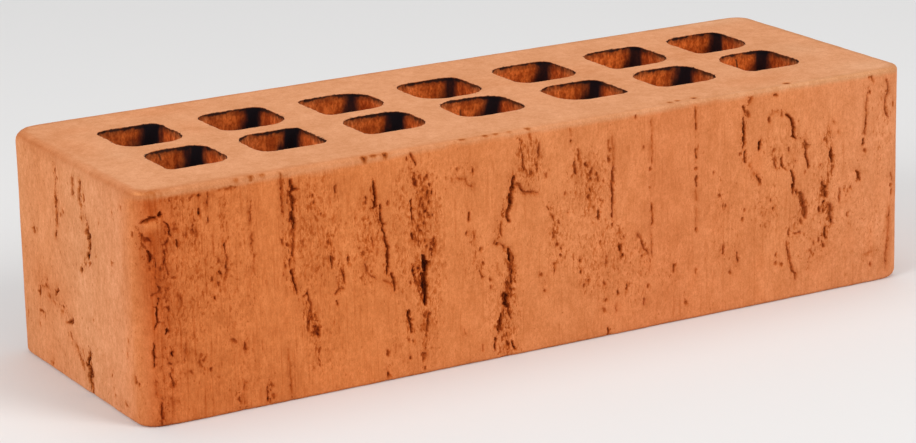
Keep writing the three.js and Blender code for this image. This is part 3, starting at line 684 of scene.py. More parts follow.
peck = np.full_like(GU, .20)
for x, z, rx, rz, k in PECKS:
    peck = np.maximum(peck, k * smooth(1.35, .5, np.hypot((GU - front(x)) / rx, (GZ - z) / rz)))
peck = np.where(on_front > .5, peck, .10 + .25 * on_left + on_rear * (.35 + .35 * girth_noise(GU, GZ, 26, 30, 27)))
for u, z, ru, rz, k in CROWDS:
    across = np.mod(GU - u + GIRTH / 2, GIRTH) - GIRTH / 2
    peck = np.maximum(peck, k * smooth(1.35, .5, np.hypot(across / ru, (GZ - z) / rz)))
peck = np.clip(peck, 0, 1) * (1 - smooth(62.2, 63.4, GZ))
scar = scar * (1 - smooth(63.4, 64.2, GZ))

skin = 0.10 * girth_noise(GU, GZ, 30, 34, 22) + 0.07 * girth_noise(GU, GZ, 7, 18, 23) \
    + 0.05 * (0.3 + bark) * girth_noise(GU, GZ, 1.7, 8, 24) + 0.022 * (0.4 + bark) * girth_noise(GU, GZ, 0.9, 2.2, 25)
rolled = 0.17 * np.exp(-((near - 0.42) / 0.42) ** 2) * np.clip(0.55 + girth_noise(GU, GZ, 2.2, 4, 26), 0, 1) * (near > -0.2)
lumps = lump(front(-119.4), 55.8, 2.6, 1.1, .14) + lump(front(-37.6), 27, .7, 7, .17) + lump(front(67.7), 53.5, .6, 4, .14) \
    + lump(front(96.9), 42, .6, 2.2, .12) + lump(front(-10.2), 24, .8, 6, .08)
torn = scar * (0.35 + 1.15 * crumb)
relief = np.clip(0.21 + skin - rolled - lumps, 0.0, 0.6) + np.maximum(gap, 0.7 * torn)
near_soft = np.exp(-np.clip(near, 0, 9) / 0.55)


def sample(field, u, z):
    """Bilinear look-up of a field at places (u, z)."""
    fu, fz = np.mod(u / DU, NU), np.clip(z / H * (NZ - 1), 0, NZ - 1.001)
    j, i = np.floor(fu).astype(int), np.floor(fz).astype(int)
    a, b = fu - j, fz - i
    j0, j1 = j % NU, (j + 1) % NU
    return (field[i, j0] * (1 - a) + field[i, j1] * a) * (1 - b) + (field[i + 1, j0] * (1 - a) + field[i + 1, j1] * a) * b

# ---------------------------------------------------------------------------------------------
# The mesh: sides, bed faces and core walls as one closed skin
# ---------------------------------------------------------------------------------------------
def ring_bump(u, at, width, high):
    d = np.abs(np.mod(u - at + GIRTH / 2, GIRTH) - GIRTH / 2)
    return high * np.exp(-(d / width) ** 2)


def arris_top(u):
    """Radius of the worn arris round the top bed face."""
    r = 1.45 + 0.55 * smooth(U_A, U_B + 4, u) * (1 - smooth(U_C - 4, U_C + 2, u)) - 0.40 * smooth(U_D + 60, U_D + 92, u) * (1 - smooth(U_E - 3, U_E + 6, u))
    return r + ring_bump(u, U_A + 4.7, 5, 1.3) + 0.18 * girth_noise(u, 0 * u, 9, 1, 31) + 0.10 * girth_noise(u, 0 * u, 3, 1, 32)


def arris_bottom(u):
    r = 1.25 + ring_bump(u, U_C + 4.7, 6, .5) + ring_bump(u, U_E + 4.7, 5, .9)
    return r + 0.22 * girth_noise(u, 0 * u, 11, 1, 33) + 0.12 * girth_noise(u, 0 * u, 3, 1, 34)


ARC_ROWS = 5
ARC_V = 1.9                                  # length in v given to each arris
NV = 224                                     # finest rows between the arrises
V_MAX = 62.0
DV = V_MAX / NV


def side_point(u, v):
    """Position in millimetres of the place (u, v) on the sides, with its relief."""
    rt, rb = arris_top(u), arris_bottom(u)
    z = rb + np.clip(v / V_MAX, 0, 1) * (H - rt - rb)
    ab = np.clip(-v / ARC_V, 0, 1) * math.pi / 2
    at = np.clip((v - V_MAX) / ARC_V, 0, 1) * math.pi / 2
    inset = rb * (1 - np.cos(ab)) + rt * (1 - np.cos(at))
    z = z - rb * np.sin(ab) + rt * np.sin(at)
    deep = sample(relief, u, z)
    fade = np.cos(np.maximum(ab, at)) ** 0.5 if np.ndim(u) else 1.0
    x, y, nx, ny = outline(u)
    push = inset + deep * (0.25 + 0.75 * fade)
    return x - nx * push, y - ny * push, z, z


# Pick the places (column, row) that the mesh needs: fine by the tears, coarse on the plain clay.
cols, rows = np.meshgrid(np.arange(NU + 1), np.arange(-ARC_ROWS, NV + ARC_ROWS + 1))
vv = np.where(rows < 0, rows * (ARC_V / ARC_ROWS), np.where(rows > NV, V_MAX + (rows - NV) * (ARC_V / ARC_ROWS), rows * DV))
uu = cols * DU
zz = side_point(uu.ravel(), vv.ravel())[3].reshape(uu.shape)
near_at = sample(near, uu, zz)
bark_at = sample(bark, uu, zz)
shown = (uu > U_B - 6) & (uu < U_F + 4)                  # the faces with listed tears
scar_at = sample(scar, uu, zz)
level = np.full(uu.shape, 3)
level[(bark_at > 0.5) | ((uu > U_D) & (uu < U_E))] = 2
level[(near_at < 0.55) | (scar_at > .10)] = 1
level[(near_at < 0.16) & shown] = 0
level[(near_at < -0.12) & ~shown] = 0
arc = (uu > U_A - 1) & (uu < U_B + 1) | (uu > U_C - 1) & (uu < U_D + 1) | (uu > U_E - 1) & (uu < U_F + 1) | (uu > U_G - 1) & (uu < U_H + 1)
level[arc] = np.minimum(level[arc], 2)
in_arris = (rows < 0) | (rows > NV)
by_nick = (rows > NV - 1) & (np.abs(uu[..., None] - np.array([U_D + L / 2 - RC + k[0] for k in NICKS if k[1] < -41])).min(-1) < 1.5)
level[by_nick] = np.minimum(level[by_nick], 1)
keep = np.zeros(uu.shape, bool)
for lv in range(4):
    step = 2 ** lv
    on = (cols % step == 0) & np.where(in_arris, True, rows % step == 0)
    keep |= on & (level <= lv)
keep[in_arris & (cols % 4 == 0)] = True
ends = (rows == -ARC_ROWS) | (rows == NV + ARC_ROWS)
keep[ends] = ((cols % 4 == 0) | by_nick & (cols % 2 == 0))[ends]
seam = (cols == 0) | (cols == NU)
keep[seam] = (in_arris | (rows % 4 == 0))[seam]

su, sv, sc = uu[keep], vv[keep], cols[keep]
print("points by level", [int((keep & (level == k)).sum()) for k in range(4)], "arris", int((keep & in_arris).sum()))
tri = np.array(delaunay_2d_cdt([Vector((a, b)) for a, b in zip(su.tolist(), sv.tolist())], [], [], 0, 1e-7)[2])
a, b, c = (np.stack([su[tri[:, k]], sv[tri[:, k]]], 1) for k in range(3))
area = 0.5 * ((b - a)[:, 0] * (c - a)[:, 1] - (b - a)[:, 1] * (c - a)[:, 0])
tri[area < 0] = tri[area < 0][:, ::-1]
tri = tri[np.abs(area) > 1e-6]
sx, sy, sz, _ = side_point(su, sv)
side_xyz = np.stack([sx, sy, sz], 1)
key = np.round(sv / 1e-4).astype(int)
first = {int(key[n]): n for n in np.nonzero(sc == 0)[0]}
weld = np.arange(len(su))
last = np.nonzero(sc == NU)[0]
weld[last] = [first[int(key[n])] for n in last]
tri = weld[tri]

verts = [side_xyz]
faces = [tri]                                            # anticlockwise seen from outside
kind = [np.zeros(len(su), int)]                          # 0 side, 1 top, 2 bottom, 3.. core number + 3
count = len(su)


def core_rim(n, k):
    """The outline of core n: k points evenly round it, anticlockwise from the middle of the +x side, with normals."""
    cx, cy, length, width, radii = CORES[n]
    hl, hw = length / 2, width / 2
    px, py, qx, qy = [], [], [], []
    for q, (sx, sy, r) in enumerate(((1, 1, radii[0]), (-1, 1, radii[1]), (-1, -1, radii[2]), (1, -1, radii[3]))):
        for t in np.radians(np.linspace(q * 90, q * 90 + 90, 17)):
            px.append(sx * (hl - r) + r * math.cos(t))
            py.append(sy * (hw - r) + r * math.sin(t))
            qx.append(math.cos(t))
            qy.append(math.sin(t))
    px, py, qx, qy = (np.array(v + v[:1]) for v in (px, py, qx, qy))
    start = np.concatenate([[0], np.cumsum(np.hypot(np.diff(px), np.diff(py)))])
    s = np.arange(k) / k * start[-1]
    x, y, nx, ny = (np.interp(s, start, v) for v in (px, py, qx, qy))
    long = np.hypot(nx, ny)
    return cx + x, cy + y, nx / long, ny / long


RIM_N = 128                                  # points round a core at the top; half as many deeper down
rims = []
for n in range(len(CORES)):
    x, y, nx, ny = core_rim(n, RIM_N)
    f = np.arange(RIM_N) / RIM_N
    rag_t = 0.20 * perlin(f * 12, 0 * f + 3.1 * n + .5, 41, 12) + 0.20 * perlin(f * 34, 0 * f + 1.7 * n + .5, 42, 34) + 0.12 * perlin(f * 60, 0 * f + 1.2 * n + .5, 47, 60)
    rag_b = 0.20 * perlin(f * 12, 0 * f + 2.3 * n + .5, 43, 12) + 0.14 * perlin(f * 34, 0 * f + 1.9 * n + .5, 44, 34)
    rims.append((x, y, nx, ny, rag_t, rag_b))


def bed(is_top):
    """One bed face, from the outer ring to the rims of the cores."""
    global count
    side_end = NV + ARC_ROWS if is_top else -ARC_ROWS
    outer = np.nonzero((rows[keep] == side_end) & (cols[keep] < NU))[0]
    outer = outer[np.argsort(cols[keep][outer])]
    if is_top:
        pass
    pts = [side_xyz[outer][:, :2]]
    ids = [outer]
    edges = [(k, (k + 1) % len(outer)) for k in range(len(outer))]
    total = len(outer)
    new = []
    rim_ids = []
    for n, (x, y, nx, ny, rag_t, rag_b) in enumerate(rims):
        rag = rag_t if is_top else rag_b
        if not is_top:
            x, y, nx, ny, rag = x[::2], y[::2], nx[::2], ny[::2], rag[::2]
        lip = 0.04 + rag
        p = np.stack([x - nx * lip, y - ny * lip], 1)
        k = len(p)
        pts.append(p)
        edges += [(total + m, total + (m + 1) % k) for m in range(k)]
        drop = 0.06 + 0.06 * rag
        new.append((p, drop))
        rim_ids.append(np.arange(total, total + k))
        total += k
        ring = np.stack([x + nx * (0.55 + rag * .5), y + ny * (0.55 + rag * .5)], 1)[::2]
        pts.append(ring)
        new.append((ring, np.full(len(ring), 0.01)))
        total += len(ring)
    gx, gy = np.meshgrid(np.arange(-L / 2 + 3.4, L / 2 - 3, 1.9), np.arange(-W / 2 + 3.4, W / 2 - 3, 1.9))
    gx, gy = gx.ravel() + 0.3 * np.sin(gy.ravel() * 7.1), gy.ravel() + 0.3 * np.sin(gx.ravel() * 5.3)
    ok = np.ones(len(gx), bool)
    for cx, cy, length, width, _ in CORES:
        ok &= ~((np.abs(gx - cx) < length / 2 + 1.3) & (np.abs(gy - cy) < width / 2 + 1.3))
    ax, ay = L / 2 - RC, W / 2 - RC
    ok &= ~((np.hypot(np.abs(gx) - ax, np.abs(gy) - ay) > RC - 3.2) & (np.abs(gx) > ax) & (np.abs(gy) > ay))
    inner = np.stack([gx[ok], gy[ok]], 1)
    if is_top:
        pit = np.array([(-54 + dx, 12.5 + dy) for dx in np.arange(-2.1, 2.2, .35) for dy in np.arange(-.9, 1.0, .3)])
        inner = np.vstack([inner[~((np.abs(inner[:, 0] + 54) < 3) & (np.abs(inner[:, 1] - 12.5) < 2))], pit])
        for x, y, hl, hw, _ in NICKS:
            dent = np.array([(x + dx, y + dy) for dx in np.linspace(-1.5 * hl, 1.5 * hl, 9) for dy in np.linspace(-1.5 * hw, 1.5 * hw, 7)])
            dent = dent[dent[:, 1] > -W / 2 + 0.25 + arris_top(U_D + L / 2 - RC + dent[:, 0])]
            inner = np.vstack([inner[~((np.abs(inner[:, 0] - x) < 1.9 * hl) & (np.abs(inner[:, 1] - y) < 1.9 * hw))], dent])
    pts.append(inner)
    new.append((inner, np.zeros(len(inner))))
    allp = np.vstack(pts)
    out = delaunay_2d_cdt([Vector(p) for p in allp.tolist()], edges, [], 0, 1e-7)
    t = np.array(out[2])
    src = np.array([o[0] for o in out[3]])               # output vertex -> input vertex
    t = src[t]
    c = allp[t].mean(1)
    inside = np.zeros(len(t), bool)
    for ring in rim_ids:
        poly = allp[ring]
        box = (c[:, 0] > poly[:, 0].min()) & (c[:, 0] < poly[:, 0].max()) & (c[:, 1] > poly[:, 1].min()) & (c[:, 1] < poly[:, 1].max())
        q = np.nonzero(box)[0]
        a, b = poly, np.roll(poly, -1, 0)
        cross = (a[None, :, 1] > c[q, 1, None]) != (b[None, :, 1] > c[q, 1, None])
        with np.errstate(divide="ignore", invalid="ignore"):
            xi = a[None, :, 0] + (c[q, 1, None] - a[None, :, 1]) * (b - a)[None, :, 0] / (b - a)[None, :, 1]
        inside[q] |= ((cross & (xi > c[q, 0, None])).sum(1) % 2).astype(bool)
    ring_set = np.zeros(len(allp), bool)
    ring_set[:len(outer)] = True
    t = t[~inside]
    flat = ring_set[t].all(1)                            # slivers outside the outline at the rounded corners
    p = allp[t]
    area = 0.5 * ((p[:, 1, 0] - p[:, 0, 0]) * (p[:, 2, 1] - p[:, 0, 1]) - (p[:, 1, 1] - p[:, 0, 1]) * (p[:, 2, 0] - p[:, 0, 0]))
    cc = p.mean(1)
    poly = allp[:len(outer)]
    if flat.any():
        q = np.nonzero(flat)[0]
        a, b = poly, np.roll(poly, -1, 0)
        cross = (a[None, :, 1] > cc[q, 1, None]) != (b[None, :, 1] > cc[q, 1, None])
        with np.errstate(divide="ignore", invalid="ignore"):
            xi = a[None, :, 0] + (cc[q, 1, None] - a[None, :, 1]) * (b - a)[None, :, 0] / (b - a)[None, :, 1]
        outside = ((cross & (xi > cc[q, 0, None])).sum(1) % 2) == 0
        drop_t = np.zeros(len(t), bool)
        drop_t[q[outside]] = True
        t, area = t[~drop_t], area[~drop_t]
    t[area < 0] = t[area < 0][:, ::-1]
    if not is_top:
        t = t[:, ::-1]
    fresh = np.vstack([p for p, _ in new])
    drop = np.concatenate([d for _, d in new])
    x, y = fresh[:, 0], fresh[:, 1]
    edge = np.minimum(L / 2 - np.abs(x), W / 2 - np.abs(y))
    wave = 0.05 + 0.035 * perlin(x / 34, y / 34, 51 if is_top else 52) + 0.015 * perlin(x / 7, y / 9, 53 if is_top else 54)
    drop = drop + wave * smooth(1.5, 9, edge)
    if is_top:
        d = np.hypot((x + 54) / 1.5, (y - 12.5) / .55)
        drop = drop + 0.8 * smooth(1.15, 0.3, d)
    z = H - drop if is_top else drop
    verts.append(np.stack([x, y, z], 1))
    kind.append(np.full(len(fresh), 1 if is_top else 2))
    base = count
    count += len(fresh)
    index = np.concatenate([outer, base + np.arange(len(fresh))])
    faces.append(index[t])
    return [index[r] for r in rim_ids]


top_rims = bed(True)
bottom_rims = bed(False)

DEPTHS = np.array([.25, .6, 1.2, 2.2, 3.8, 6.0, 8.6, 11.6, 15.5, 20.5, 26.5, 32.5])
levels = np.concatenate([H - DEPTHS, DEPTHS[::-1][1:]])
FINE = 4                                     # levels that keep all of a rim's points
for n, (x, y, nx, ny, rag_t, rag_b) in enumerate(rims):
    previous = top_rims[n]
    f = np.arange(RIM_N) / RIM_N
    for k, z in enumerate(levels):
        pick = slice(None) if k < FINE else slice(None, None, 2)
        from_top, from_bottom = H - z, z
        streak = 0.08 * perlin(f * 26, 0 * f + n * 1.37 + z / 26, 45, 26) + 0.06 * perlin(f * 38, 0 * f + n * 2.11 + z / 9, 46, 38)
        near_end = math.exp(-min(from_top, from_bottom) / 1.6)
        rag = rag_t if from_top < from_bottom else rag_b
        lip = near_end * (0.06 + rag * .9) * (1.0 if min(from_top, from_bottom) < .5 else .25) - 0.12 * (1 - near_end) + streak * (1 - near_end)
        p = np.stack([x - nx * lip, y - ny * lip, np.full(RIM_N, z)], 1)[pick]
        verts.append(p)
        kind.append(np.full(len(p), 3 + n))
        ids = count + np.arange(len(p))
        count += len(p)
        c, d = ids, np.roll(ids, -1)
        if len(previous) == len(ids):
            a, b = previous, np.roll(previous, -1)
            faces.append(np.concatenate([np.stack([a, b, d], 1), np.stack([a, d, c], 1)]))
        else:                                # from all of the points to every other one
            a, b, e = previous[::2], previous[1::2], np.roll(previous, -2)[::2]
            faces.append(np.concatenate([np.stack([a, b, c], 1), np.stack([b, d, c], 1), np.stack([b, e, d], 1)]))
        previous = ids
    a, b = previous, np.roll(previous, -1)
    c, d = bottom_rims[n], np.roll(bottom_rims[n], -1)
    faces.append(np.concatenate([np.stack([a, b, d], 1), np.stack([a, d, c], 1)]))

xyz = np.vstack(verts)
kind = np.concatenate(kind)
tris = np.vstack(faces)
used = np.zeros(len(xyz), bool)
used[tris.ravel()] = True
renum = np.cumsum(used) - 1
on_rim = np.zeros(len(xyz), bool)
for ring in top_rims + bottom_rims:
    on_rim[ring] = True
on_rim = on_rim[used]
tris, xyz, kind = renum[tris], xyz[used], kind[used]
nick = np.zeros(len(xyz))
for x, y, hl, hw, k in NICKS:
    d = ((xyz[:, 0] - x) / hl) ** 2 + ((xyz[:, 1] - y) / hw) ** 2
    nick = np.maximum(nick, k * np.exp(-d ** 1.5) * (xyz[:, 2] > 63.4))
xyz[:, 2] -= 0.28 * nick
side_u = np.concatenate([su, np.zeros(len(used) - len(su))])[used]
print("brick:", len(xyz), "vertices", len(tris), "triangles")

# ---------------------------------------------------------------------------------------------
# The broad tones and masks that the material reads, one value a vertex
# ---------------------------------------------------------------------------------------------
px, py, pz = xyz.T
is_side, is_top, is_bottom, is_core = kind == 0, kind == 1, kind == 2, kind >= 3
gu = np.where(is_side, girth_of(px, py), 0.0)
tear_v = np.where(is_side, sample(dark, gu, pz), 0.0)
near_v = np.where(is_side, sample(near_soft, gu, pz), 0.0)
painted_lip_highlight_v = np.where(is_side, sample(lit_edge, gu, pz), 0.0)
bark_v = np.where(is_side, sample(bark, gu, pz), 0.0)


def ramp(x, stops):
    """Linear blend of colours along x: stops is [(x, (r, g, b)), ...]."""
    xs = [s[0] for s in stops]
    return np.stack([np.interp(x, xs, [s[1][k] for s in stops]) for k in range(3)], 1)


# a few broad stops: redder and darker at the left end, paler and more orange at the right
FRONT_TONE = ramp(px, [(-122, (.57, .14, .035)), (-110, (.61, .17, .045)), (-60, (.65, .195, .055)), (6, (.66, .22, .075)),
                       (40, (.65, .205, .07)), (78, (.665, .225, .08)), (119, (.68, .245, .10))])
LIP_TONE = ramp(px, [(-103, (.62, .24, .10)), (-26, (.635, .245, .10)), (45, (.65, .28, .13)), (97, (.61, .27, .12))])
LIP_Z = np.interp(px, [-103, -70, -48, -30, -5, 20, 45, 70, 97, 119], [62.9, 62.6, 63.2, 64.0, 63.7, 63.6, 64.0, 63.9, 63.6, 63.4])
LEFT_TONE = ramp(-py, [(-40, (.715, .285, .12)), (-20, (.71, .265, .105)), (5, (.72, .30, .135)), (30, (.73, .29, .13)), (39, (.65, .205, .065)), (44, (.61, .17, .05))])
BED_TONE = np.tile([.714, .310, .146], (len(px), 1))
# Broad patches on the top bed, more orange (above 0) or paler (below): (x, y, reach in x, reach in y, amount)
PATCHES = [(-119, 14, 7, 17, 1.0), (-111, 29, 6, 4, .8), (-82, 36, 12, 6, .9), (-82, 13, 5, 8, .7), (30, 8, 26, 9, .75), (79, 8, 8, 10, .6),
           (32, -13, 20, 8, .5), (79, -31, 12, 6, .85), (112, 39, 14, 5, -1.3), (112, -6, 7, 9, -.9), (118, -36, 12, 8, -1.2), (-111, -2, 5, 6, -.6)]
shift = sum(k * np.exp(-((px - x) / rx) ** 2 - ((py - y) / ry) ** 2) for x, y, rx, ry, k in PATCHES) * (pz > H / 2)
BED_TONE = BED_TONE * np.array([.975, .895, .82]) ** shift[:, None]
# the bed is more orange towards its worn front edge
by_edge = np.clip(1.65 * np.exp(-(py + W / 2) / 1.8), 0, 1) * (1 - .6 * smooth(70, 100, px))
BED_TONE = BED_TONE * (1 - by_edge[:, None] * np.array([.045, .12, .25]))
CORE_TONE = np.tile([.70, .165, .034], (len(px), 1))

u_left = smooth(U_A + 2, U_B, gu) * (1 - smooth(U_C, U_D - 1, gu))
u_front = smooth(U_C, U_D - 1, gu) * (1 - smooth(U_E + 4, U_F + 3, gu))
side_tone = ramp(gu, [(0, (.662, .208, .068)), (U_A, (.668, .214, .074)), (U_E, (.680, .230, .088)), (U_F + 20, (.672, .220, .078)), (GIRTH, (.662, .208, .068))])
side_tone = side_tone * (1 - u_front[:, None]) + FRONT_TONE * u_front[:, None]
side_tone = side_tone * (1 - u_left[:, None]) + LEFT_TONE * u_left[:, None]
lip_at = np.where((gu > U_C) & (gu < U_E), LIP_Z, 63.3)
lip_w = smooth(-.55, .45, pz - lip_at + 0.3 * girth_noise(gu, 0 * gu, 5, 1, 61)) * is_side
lip_front = lip_w * (1 - 0.5 * u_left)
side_tone = side_tone * (1 - lip_front[:, None]) + LIP_TONE * lip_front[:, None]
# painted shade: a darker band runs along the worn, rounded top of the left header
painted_arris_shade = np.exp(-((pz - 64.1 + .25 * girth_noise(gu, 0 * gu, 7, 1, 62)) / .7) ** 2) * u_left * np.interp(py, [-34, -25, -5, 10, 25], [.85, .95, .65, 1.0, 1.15])
side_tone = side_tone * (1 - painted_arris_shade[:, None] * np.array([.12, .24, .35]))
tone = np.where(is_side[:, None], side_tone, BED_TONE)
# the left header blushes redder along its chain of tears: (y, z, reach, reach, amount)
BLUSH = [(23, 24, 11, 5, .9), (9, 23, 8, 5, .6), (2, 11, 6, 6, .8), (-6, 5, 4, 5, .5), (31, 31, 7, 6, .5), (10, 52, 3, 11, .4), (-10, 50, 4, 8, .4)]
blush = sum(k * np.exp(-((py - y) / ry) ** 2 - ((pz - z) / rz) ** 2) for y, z, ry, rz, k in BLUSH) * u_left * is_side
# and the front has small redder patches, most of them upright (x, z, reach, reach, amount)
RUDDY = [(72, 43, 2.2, 4.5, 1.1), (119.4, 12, 1.1, 13, 1.5), (112.6, 13, 1.4, 6, .9), (104.5, 14, 2.6, 3, .6), (116, 28, 1.6, 5, .5), (97, 12, 3, 3, .5),
         (93, 7, 2.5, 2, .6), (99.5, 49, 2, 4, .6), (103.5, 28, 2.2, 2, .6), (-55, 38, 2.6, 7, .5), (-50, 28, 2.2, 4, .5), (17.5, 25, 1.8, 4, .5),
         (34, 19, 2, 2.6, .7), (24, 8, 2.6, 3, .5), (57.6, 29, 1.8, 5, .3), (72.5, 12, 2, 3, .7), (72, 5, 3, 3, .4), (49.5, 12, 2, 4, .4), (64.5, 11, 1.6, 3, .5),
         (-13, 2, 4, 2, .5), (-82, 24, 1.2, 6, .5), (-106, 9, 2, 2, .6), (-96, 15, 2, 5, .3), (-115, 57, 1.6, 3, .6), (-72, 33, 2, 4, .5)]
ruddy = sum(k * np.exp(-((px - x) / rx) ** 2 - ((pz - z) / rz) ** 2) for x, z, rx, rz, k in RUDDY) * u_front * is_side
tone = tone * np.array([.975, .90, .83]) ** (blush + ruddy)[:, None]
scar_v = np.where(is_side, sample(scar, gu, pz), 0.0)
peck_v = np.where(is_side, sample(peck, gu, pz), 0.0)
# the reddish-brown band by the front's left end
stain = 0.27 * np.exp(-((gu - front(-120.2)) / 4.0) ** 2) * smooth(8, 44, pz) * is_side
stain = np.maximum(stain, 0.14 * near_v)

# painted highlight: the lips of the deeper tears are a little paler
tone = tone * (1 + painted_lip_highlight_v[:, None] * np.array([.07, .10, .14]))
# a paler patch where the skin was pulled off by the front's top left corner
pale = np.exp(-((gu - front(-120.6)) / 2.7) ** 4 - ((pz - 55.9) / 1.8) ** 2) * is_side
tone = tone * (1 + pale[:, None] * np.array([.13, .30, .42]))
scar_v, stain = scar_v * (1 - .9 * pale), stain * (1 - .9 * pale)
# a small painted highlight on the corner between the left header and the front
painted_corner_highlight = np.exp(-(((px + 123.1) * .64 - (py + 40.6) * .77) / 1.9) ** 4 - (((px + 123.1) * .77 + (py + 40.6) * .64) / .75) ** 2) * (pz > 64.0)
tone = tone * (1 + painted_corner_highlight[:, None] * np.array([.32, .50, .55]))
tone = np.where(is_core[:, None], CORE_TONE, tone)

# In each core: the walls darken downwards, and one upright corner is darkened with painted shade.
# For each core, the dark band's middle and half width in degrees round the core, and how black it is
PAINTED_CORNER_SHADE = [(53, 18, 1.0), (51, 13, 1.0), (50, 9.5, .95), (47, 8.5, .93), (46, 10, .95), (45, 9.5, .94), (42, 10, .97),
        (52, 16.5, 1.0), (49, 13.5, 1.0), (46, 15, 1.0), (44, 13, .99), (41, 13.5, .98), (39, 16, .99), (47, 11.5, .97)]
painted_corner_shade = np.full(len(px), 6.0)
painted_corner_shade_k = np.zeros(len(px))
depth_in = np.zeros(len(px))
line = np.zeros(len(px))
thick = np.ones(len(px))
for n, (cx, cy, _, _, _) in enumerate(CORES):
    mid, half, black = PAINTED_CORNER_SHADE[n]
    m = kind == 3 + n
    ang = np.degrees(np.arctan2(py[m] - cy, px[m] - cx))
    down = np.minimum(H - pz[m], pz[m])
    wide = 1 + .65 * smooth(2.8, 6.0, down) * (ang > mid) + .14 * np.exp(-(down / 1.3) ** 2)
    painted_corner_shade[m] = np.minimum(np.abs(ang - mid) / (half * wide), 6)
    painted_corner_shade_k[m] = black
    depth_in[m] = smooth(0.0, 0.5, down)
    # the wall facing the stretcher side is browner than the one facing the header, and both fade downwards
    # the tint is darkest round the corner between these two walls: painted shade
    tint = ramp(ang, [(-60, (.72, .170, .036)), (-30, (.77, .235, .074)), (-8, (.74, .180, .044)), (14, (.68, .135, .024)), (32, (.50, .088, .014)),
                      (60, (.50, .098, .014)), (76, (.60, .122, .018)), (96, (.70, .152, .026)), (122, (.78, .200, .048)), (150, (.74, .180, .040))])
    col = n % 7
    tone[m] = tint * (np.where(ang > 50, .80 + .06 * col, 1.10 - .035 * col))[:, None]
    # the dark line under the rim, a burnt burr with painted shadow under the lip, reaches deeper on the wall facing the
    # header
    m = (kind == 3 + n) | (on_rim & (np.abs(px - cx) < 14) & (np.abs(py - cy) < 14))
    ang = np.degrees(np.arctan2(py[m] - cy, px[m] - cx))
    line[m] = (1.0 + .60 * np.exp(-((ang - 2) / 28.0) ** 2)) * np.where((ang > -40) & (ang < 150), 1.0, .6) * np.where(pz[m] > H / 2, 1, .7)
    thick[m] = 1 + .28 * np.exp(-((ang - mid) / (1.7 * half)) ** 2)

me = bpy.data.meshes.new("brick_body_look")
me.from_pydata((xyz * 0.001).tolist(), [], tris.tolist())
me.update()


def attribute(name, values, colour=False):
    a = me.attributes.new(name, "FLOAT_COLOR" if colour else "FLOAT", "POINT")
    if colour:
        a.data.foreach_set("color", np.concatenate([values, np.ones((len(values), 1))], 1).astype(np.float32).ravel())
    else:
        a.data.foreach_set("value", np.asarray(values, np.float32))


attribute("tone", np.clip(tone, 0, 1), True)
attribute("tear", np.maximum(tear_v, nick))
attribute("rim", (on_rim | is_core).astype(float))
attribute("line", line)
attribute("thick", thick)
attribute("stain", np.clip(stain, 0, 1))
attribute("scar", scar_v)
attribute("peck", peck_v)
attribute("bark", np.where(is_core, 0.12, bark_v))
attribute("bed", (is_top | is_bottom).astype(float))
attribute("core", depth_in)
attribute("painted_corner_shade", painted_corner_shade)
attribute("painted_corner_shade_k", painted_corner_shade_k)

# Smooth faces, with the steep edges of the tears left crisp.
me.shade_smooth()
me.set_sharp_from_angle(angle=math.radians(52))

# ---- the unwrapped layout, millimetres on a square sheet ----
SHEET = 336.0
corner = tris
cp = xyz[corner]
nrm = np.cross(cp[:, 1] - cp[:, 0], cp[:, 2] - cp[:, 0])
face_kind = kind[corner].max(1)
face_u = girth_of(cp[:, :, 0].mean(1), cp[:, :, 1].mean(1))
uv = np.zeros((len(tris), 3, 2))
face_n = nrm / np.maximum(np.linalg.norm(nrm, axis=1, keepdims=True), 1e-12)
all_side = face_kind == 0
side_face = all_side
top_face = (face_kind == 1)
bottom_face = (face_kind == 2)
GUc = girth_of(cp[:, :, 0], cp[:, :, 1])


def strip(mask, u0, x0, y0, wrap=False):
    """Lays side faces out flat: u along x, height along y."""
    u = GUc[mask]
    if wrap:
        u = np.where(u > GIRTH / 2, u - GIRTH, u)
    uv[mask, :, 0] = x0 + (u - u0)
    uv[mask, :, 1] = y0 + cp[mask][:, :, 2]


MID_BL, MID_FL, MID_FR, MID_BR = (U_A + U_B) / 2, (U_C + U_D) / 2, (U_E + U_F) / 2, (U_G + U_H) / 2
m_front = side_face & (face_u >= MID_FL) & (face_u < MID_FR)
m_left = side_face & (face_u >= MID_BL) & (face_u < MID_FL)
m_right = side_face & (face_u >= MID_FR) & (face_u < MID_BR)
m_rear = side_face & ~m_front & ~m_left & ~m_right
strip(m_front, MID_FL, 2, 2)
strip(m_rear, -(GIRTH - MID_BR), 2, 70, wrap=True)
strip(m_left, MID_BL, 2, 138)
strip(m_right, MID_FR, 88, 138)
for mask, y0 in ((top_face, 206), (bottom_face, 0)):
    if mask is top_face:
        uv[mask, :, 0] = 2 + cp[mask][:, :, 0] + L / 2
        uv[mask, :, 1] = 206 + cp[mask][:, :, 1] + W / 2
# the underside lies across, beside the others
uv[bottom_face, :, 0] = 254 + (cp[bottom_face][:, :, 1] + W / 2) * 0.93
uv[bottom_face, :, 1] = 80 + (cp[bottom_face][:, :, 0] + L / 2)
core_scale = 0.55
for n in range(len(CORES)):
    cx, cy = CORES[n][:2]
    mask = face_kind == 3 + n
    ang = np.arctan2(cp[mask][:, :, 1] - cy, cp[mask][:, :, 0] - cx)
    mean = np.arctan2(np.sin(ang).mean(1), np.cos(ang).mean(1))[:, None]
    ang = mean + np.mod(ang - mean + math.pi, 2 * math.pi) - math.pi
    if n < 8:
        x0, y0 = 2 + (n % 6) * 42, (294 if n < 6 else 0)
        if n >= 6:
            x0, y0 = 262, 2 + (n - 6) * 37
    else:
        x0, y0 = 172 + ((n - 8) % 2) * 41, 138 + ((n - 8) // 2) * 22
    uv[mask, :, 0] = x0 + (ang + math.pi) / (2 * math.pi) * 38
    uv[mask, :, 1] = y0 + cp[mask][:, :, 2] * (0.55 if n < 8 else 0.31)
uv /= SHEET
layer = me.uv_layers.new(name="OFBake")
layer.data.foreach_set("uv", uv.reshape(-1).astype(np.float32))

brick = bpy.data.objects.new("brick_body_look", me)
bpy.context.scene.collection.objects.link(brick)

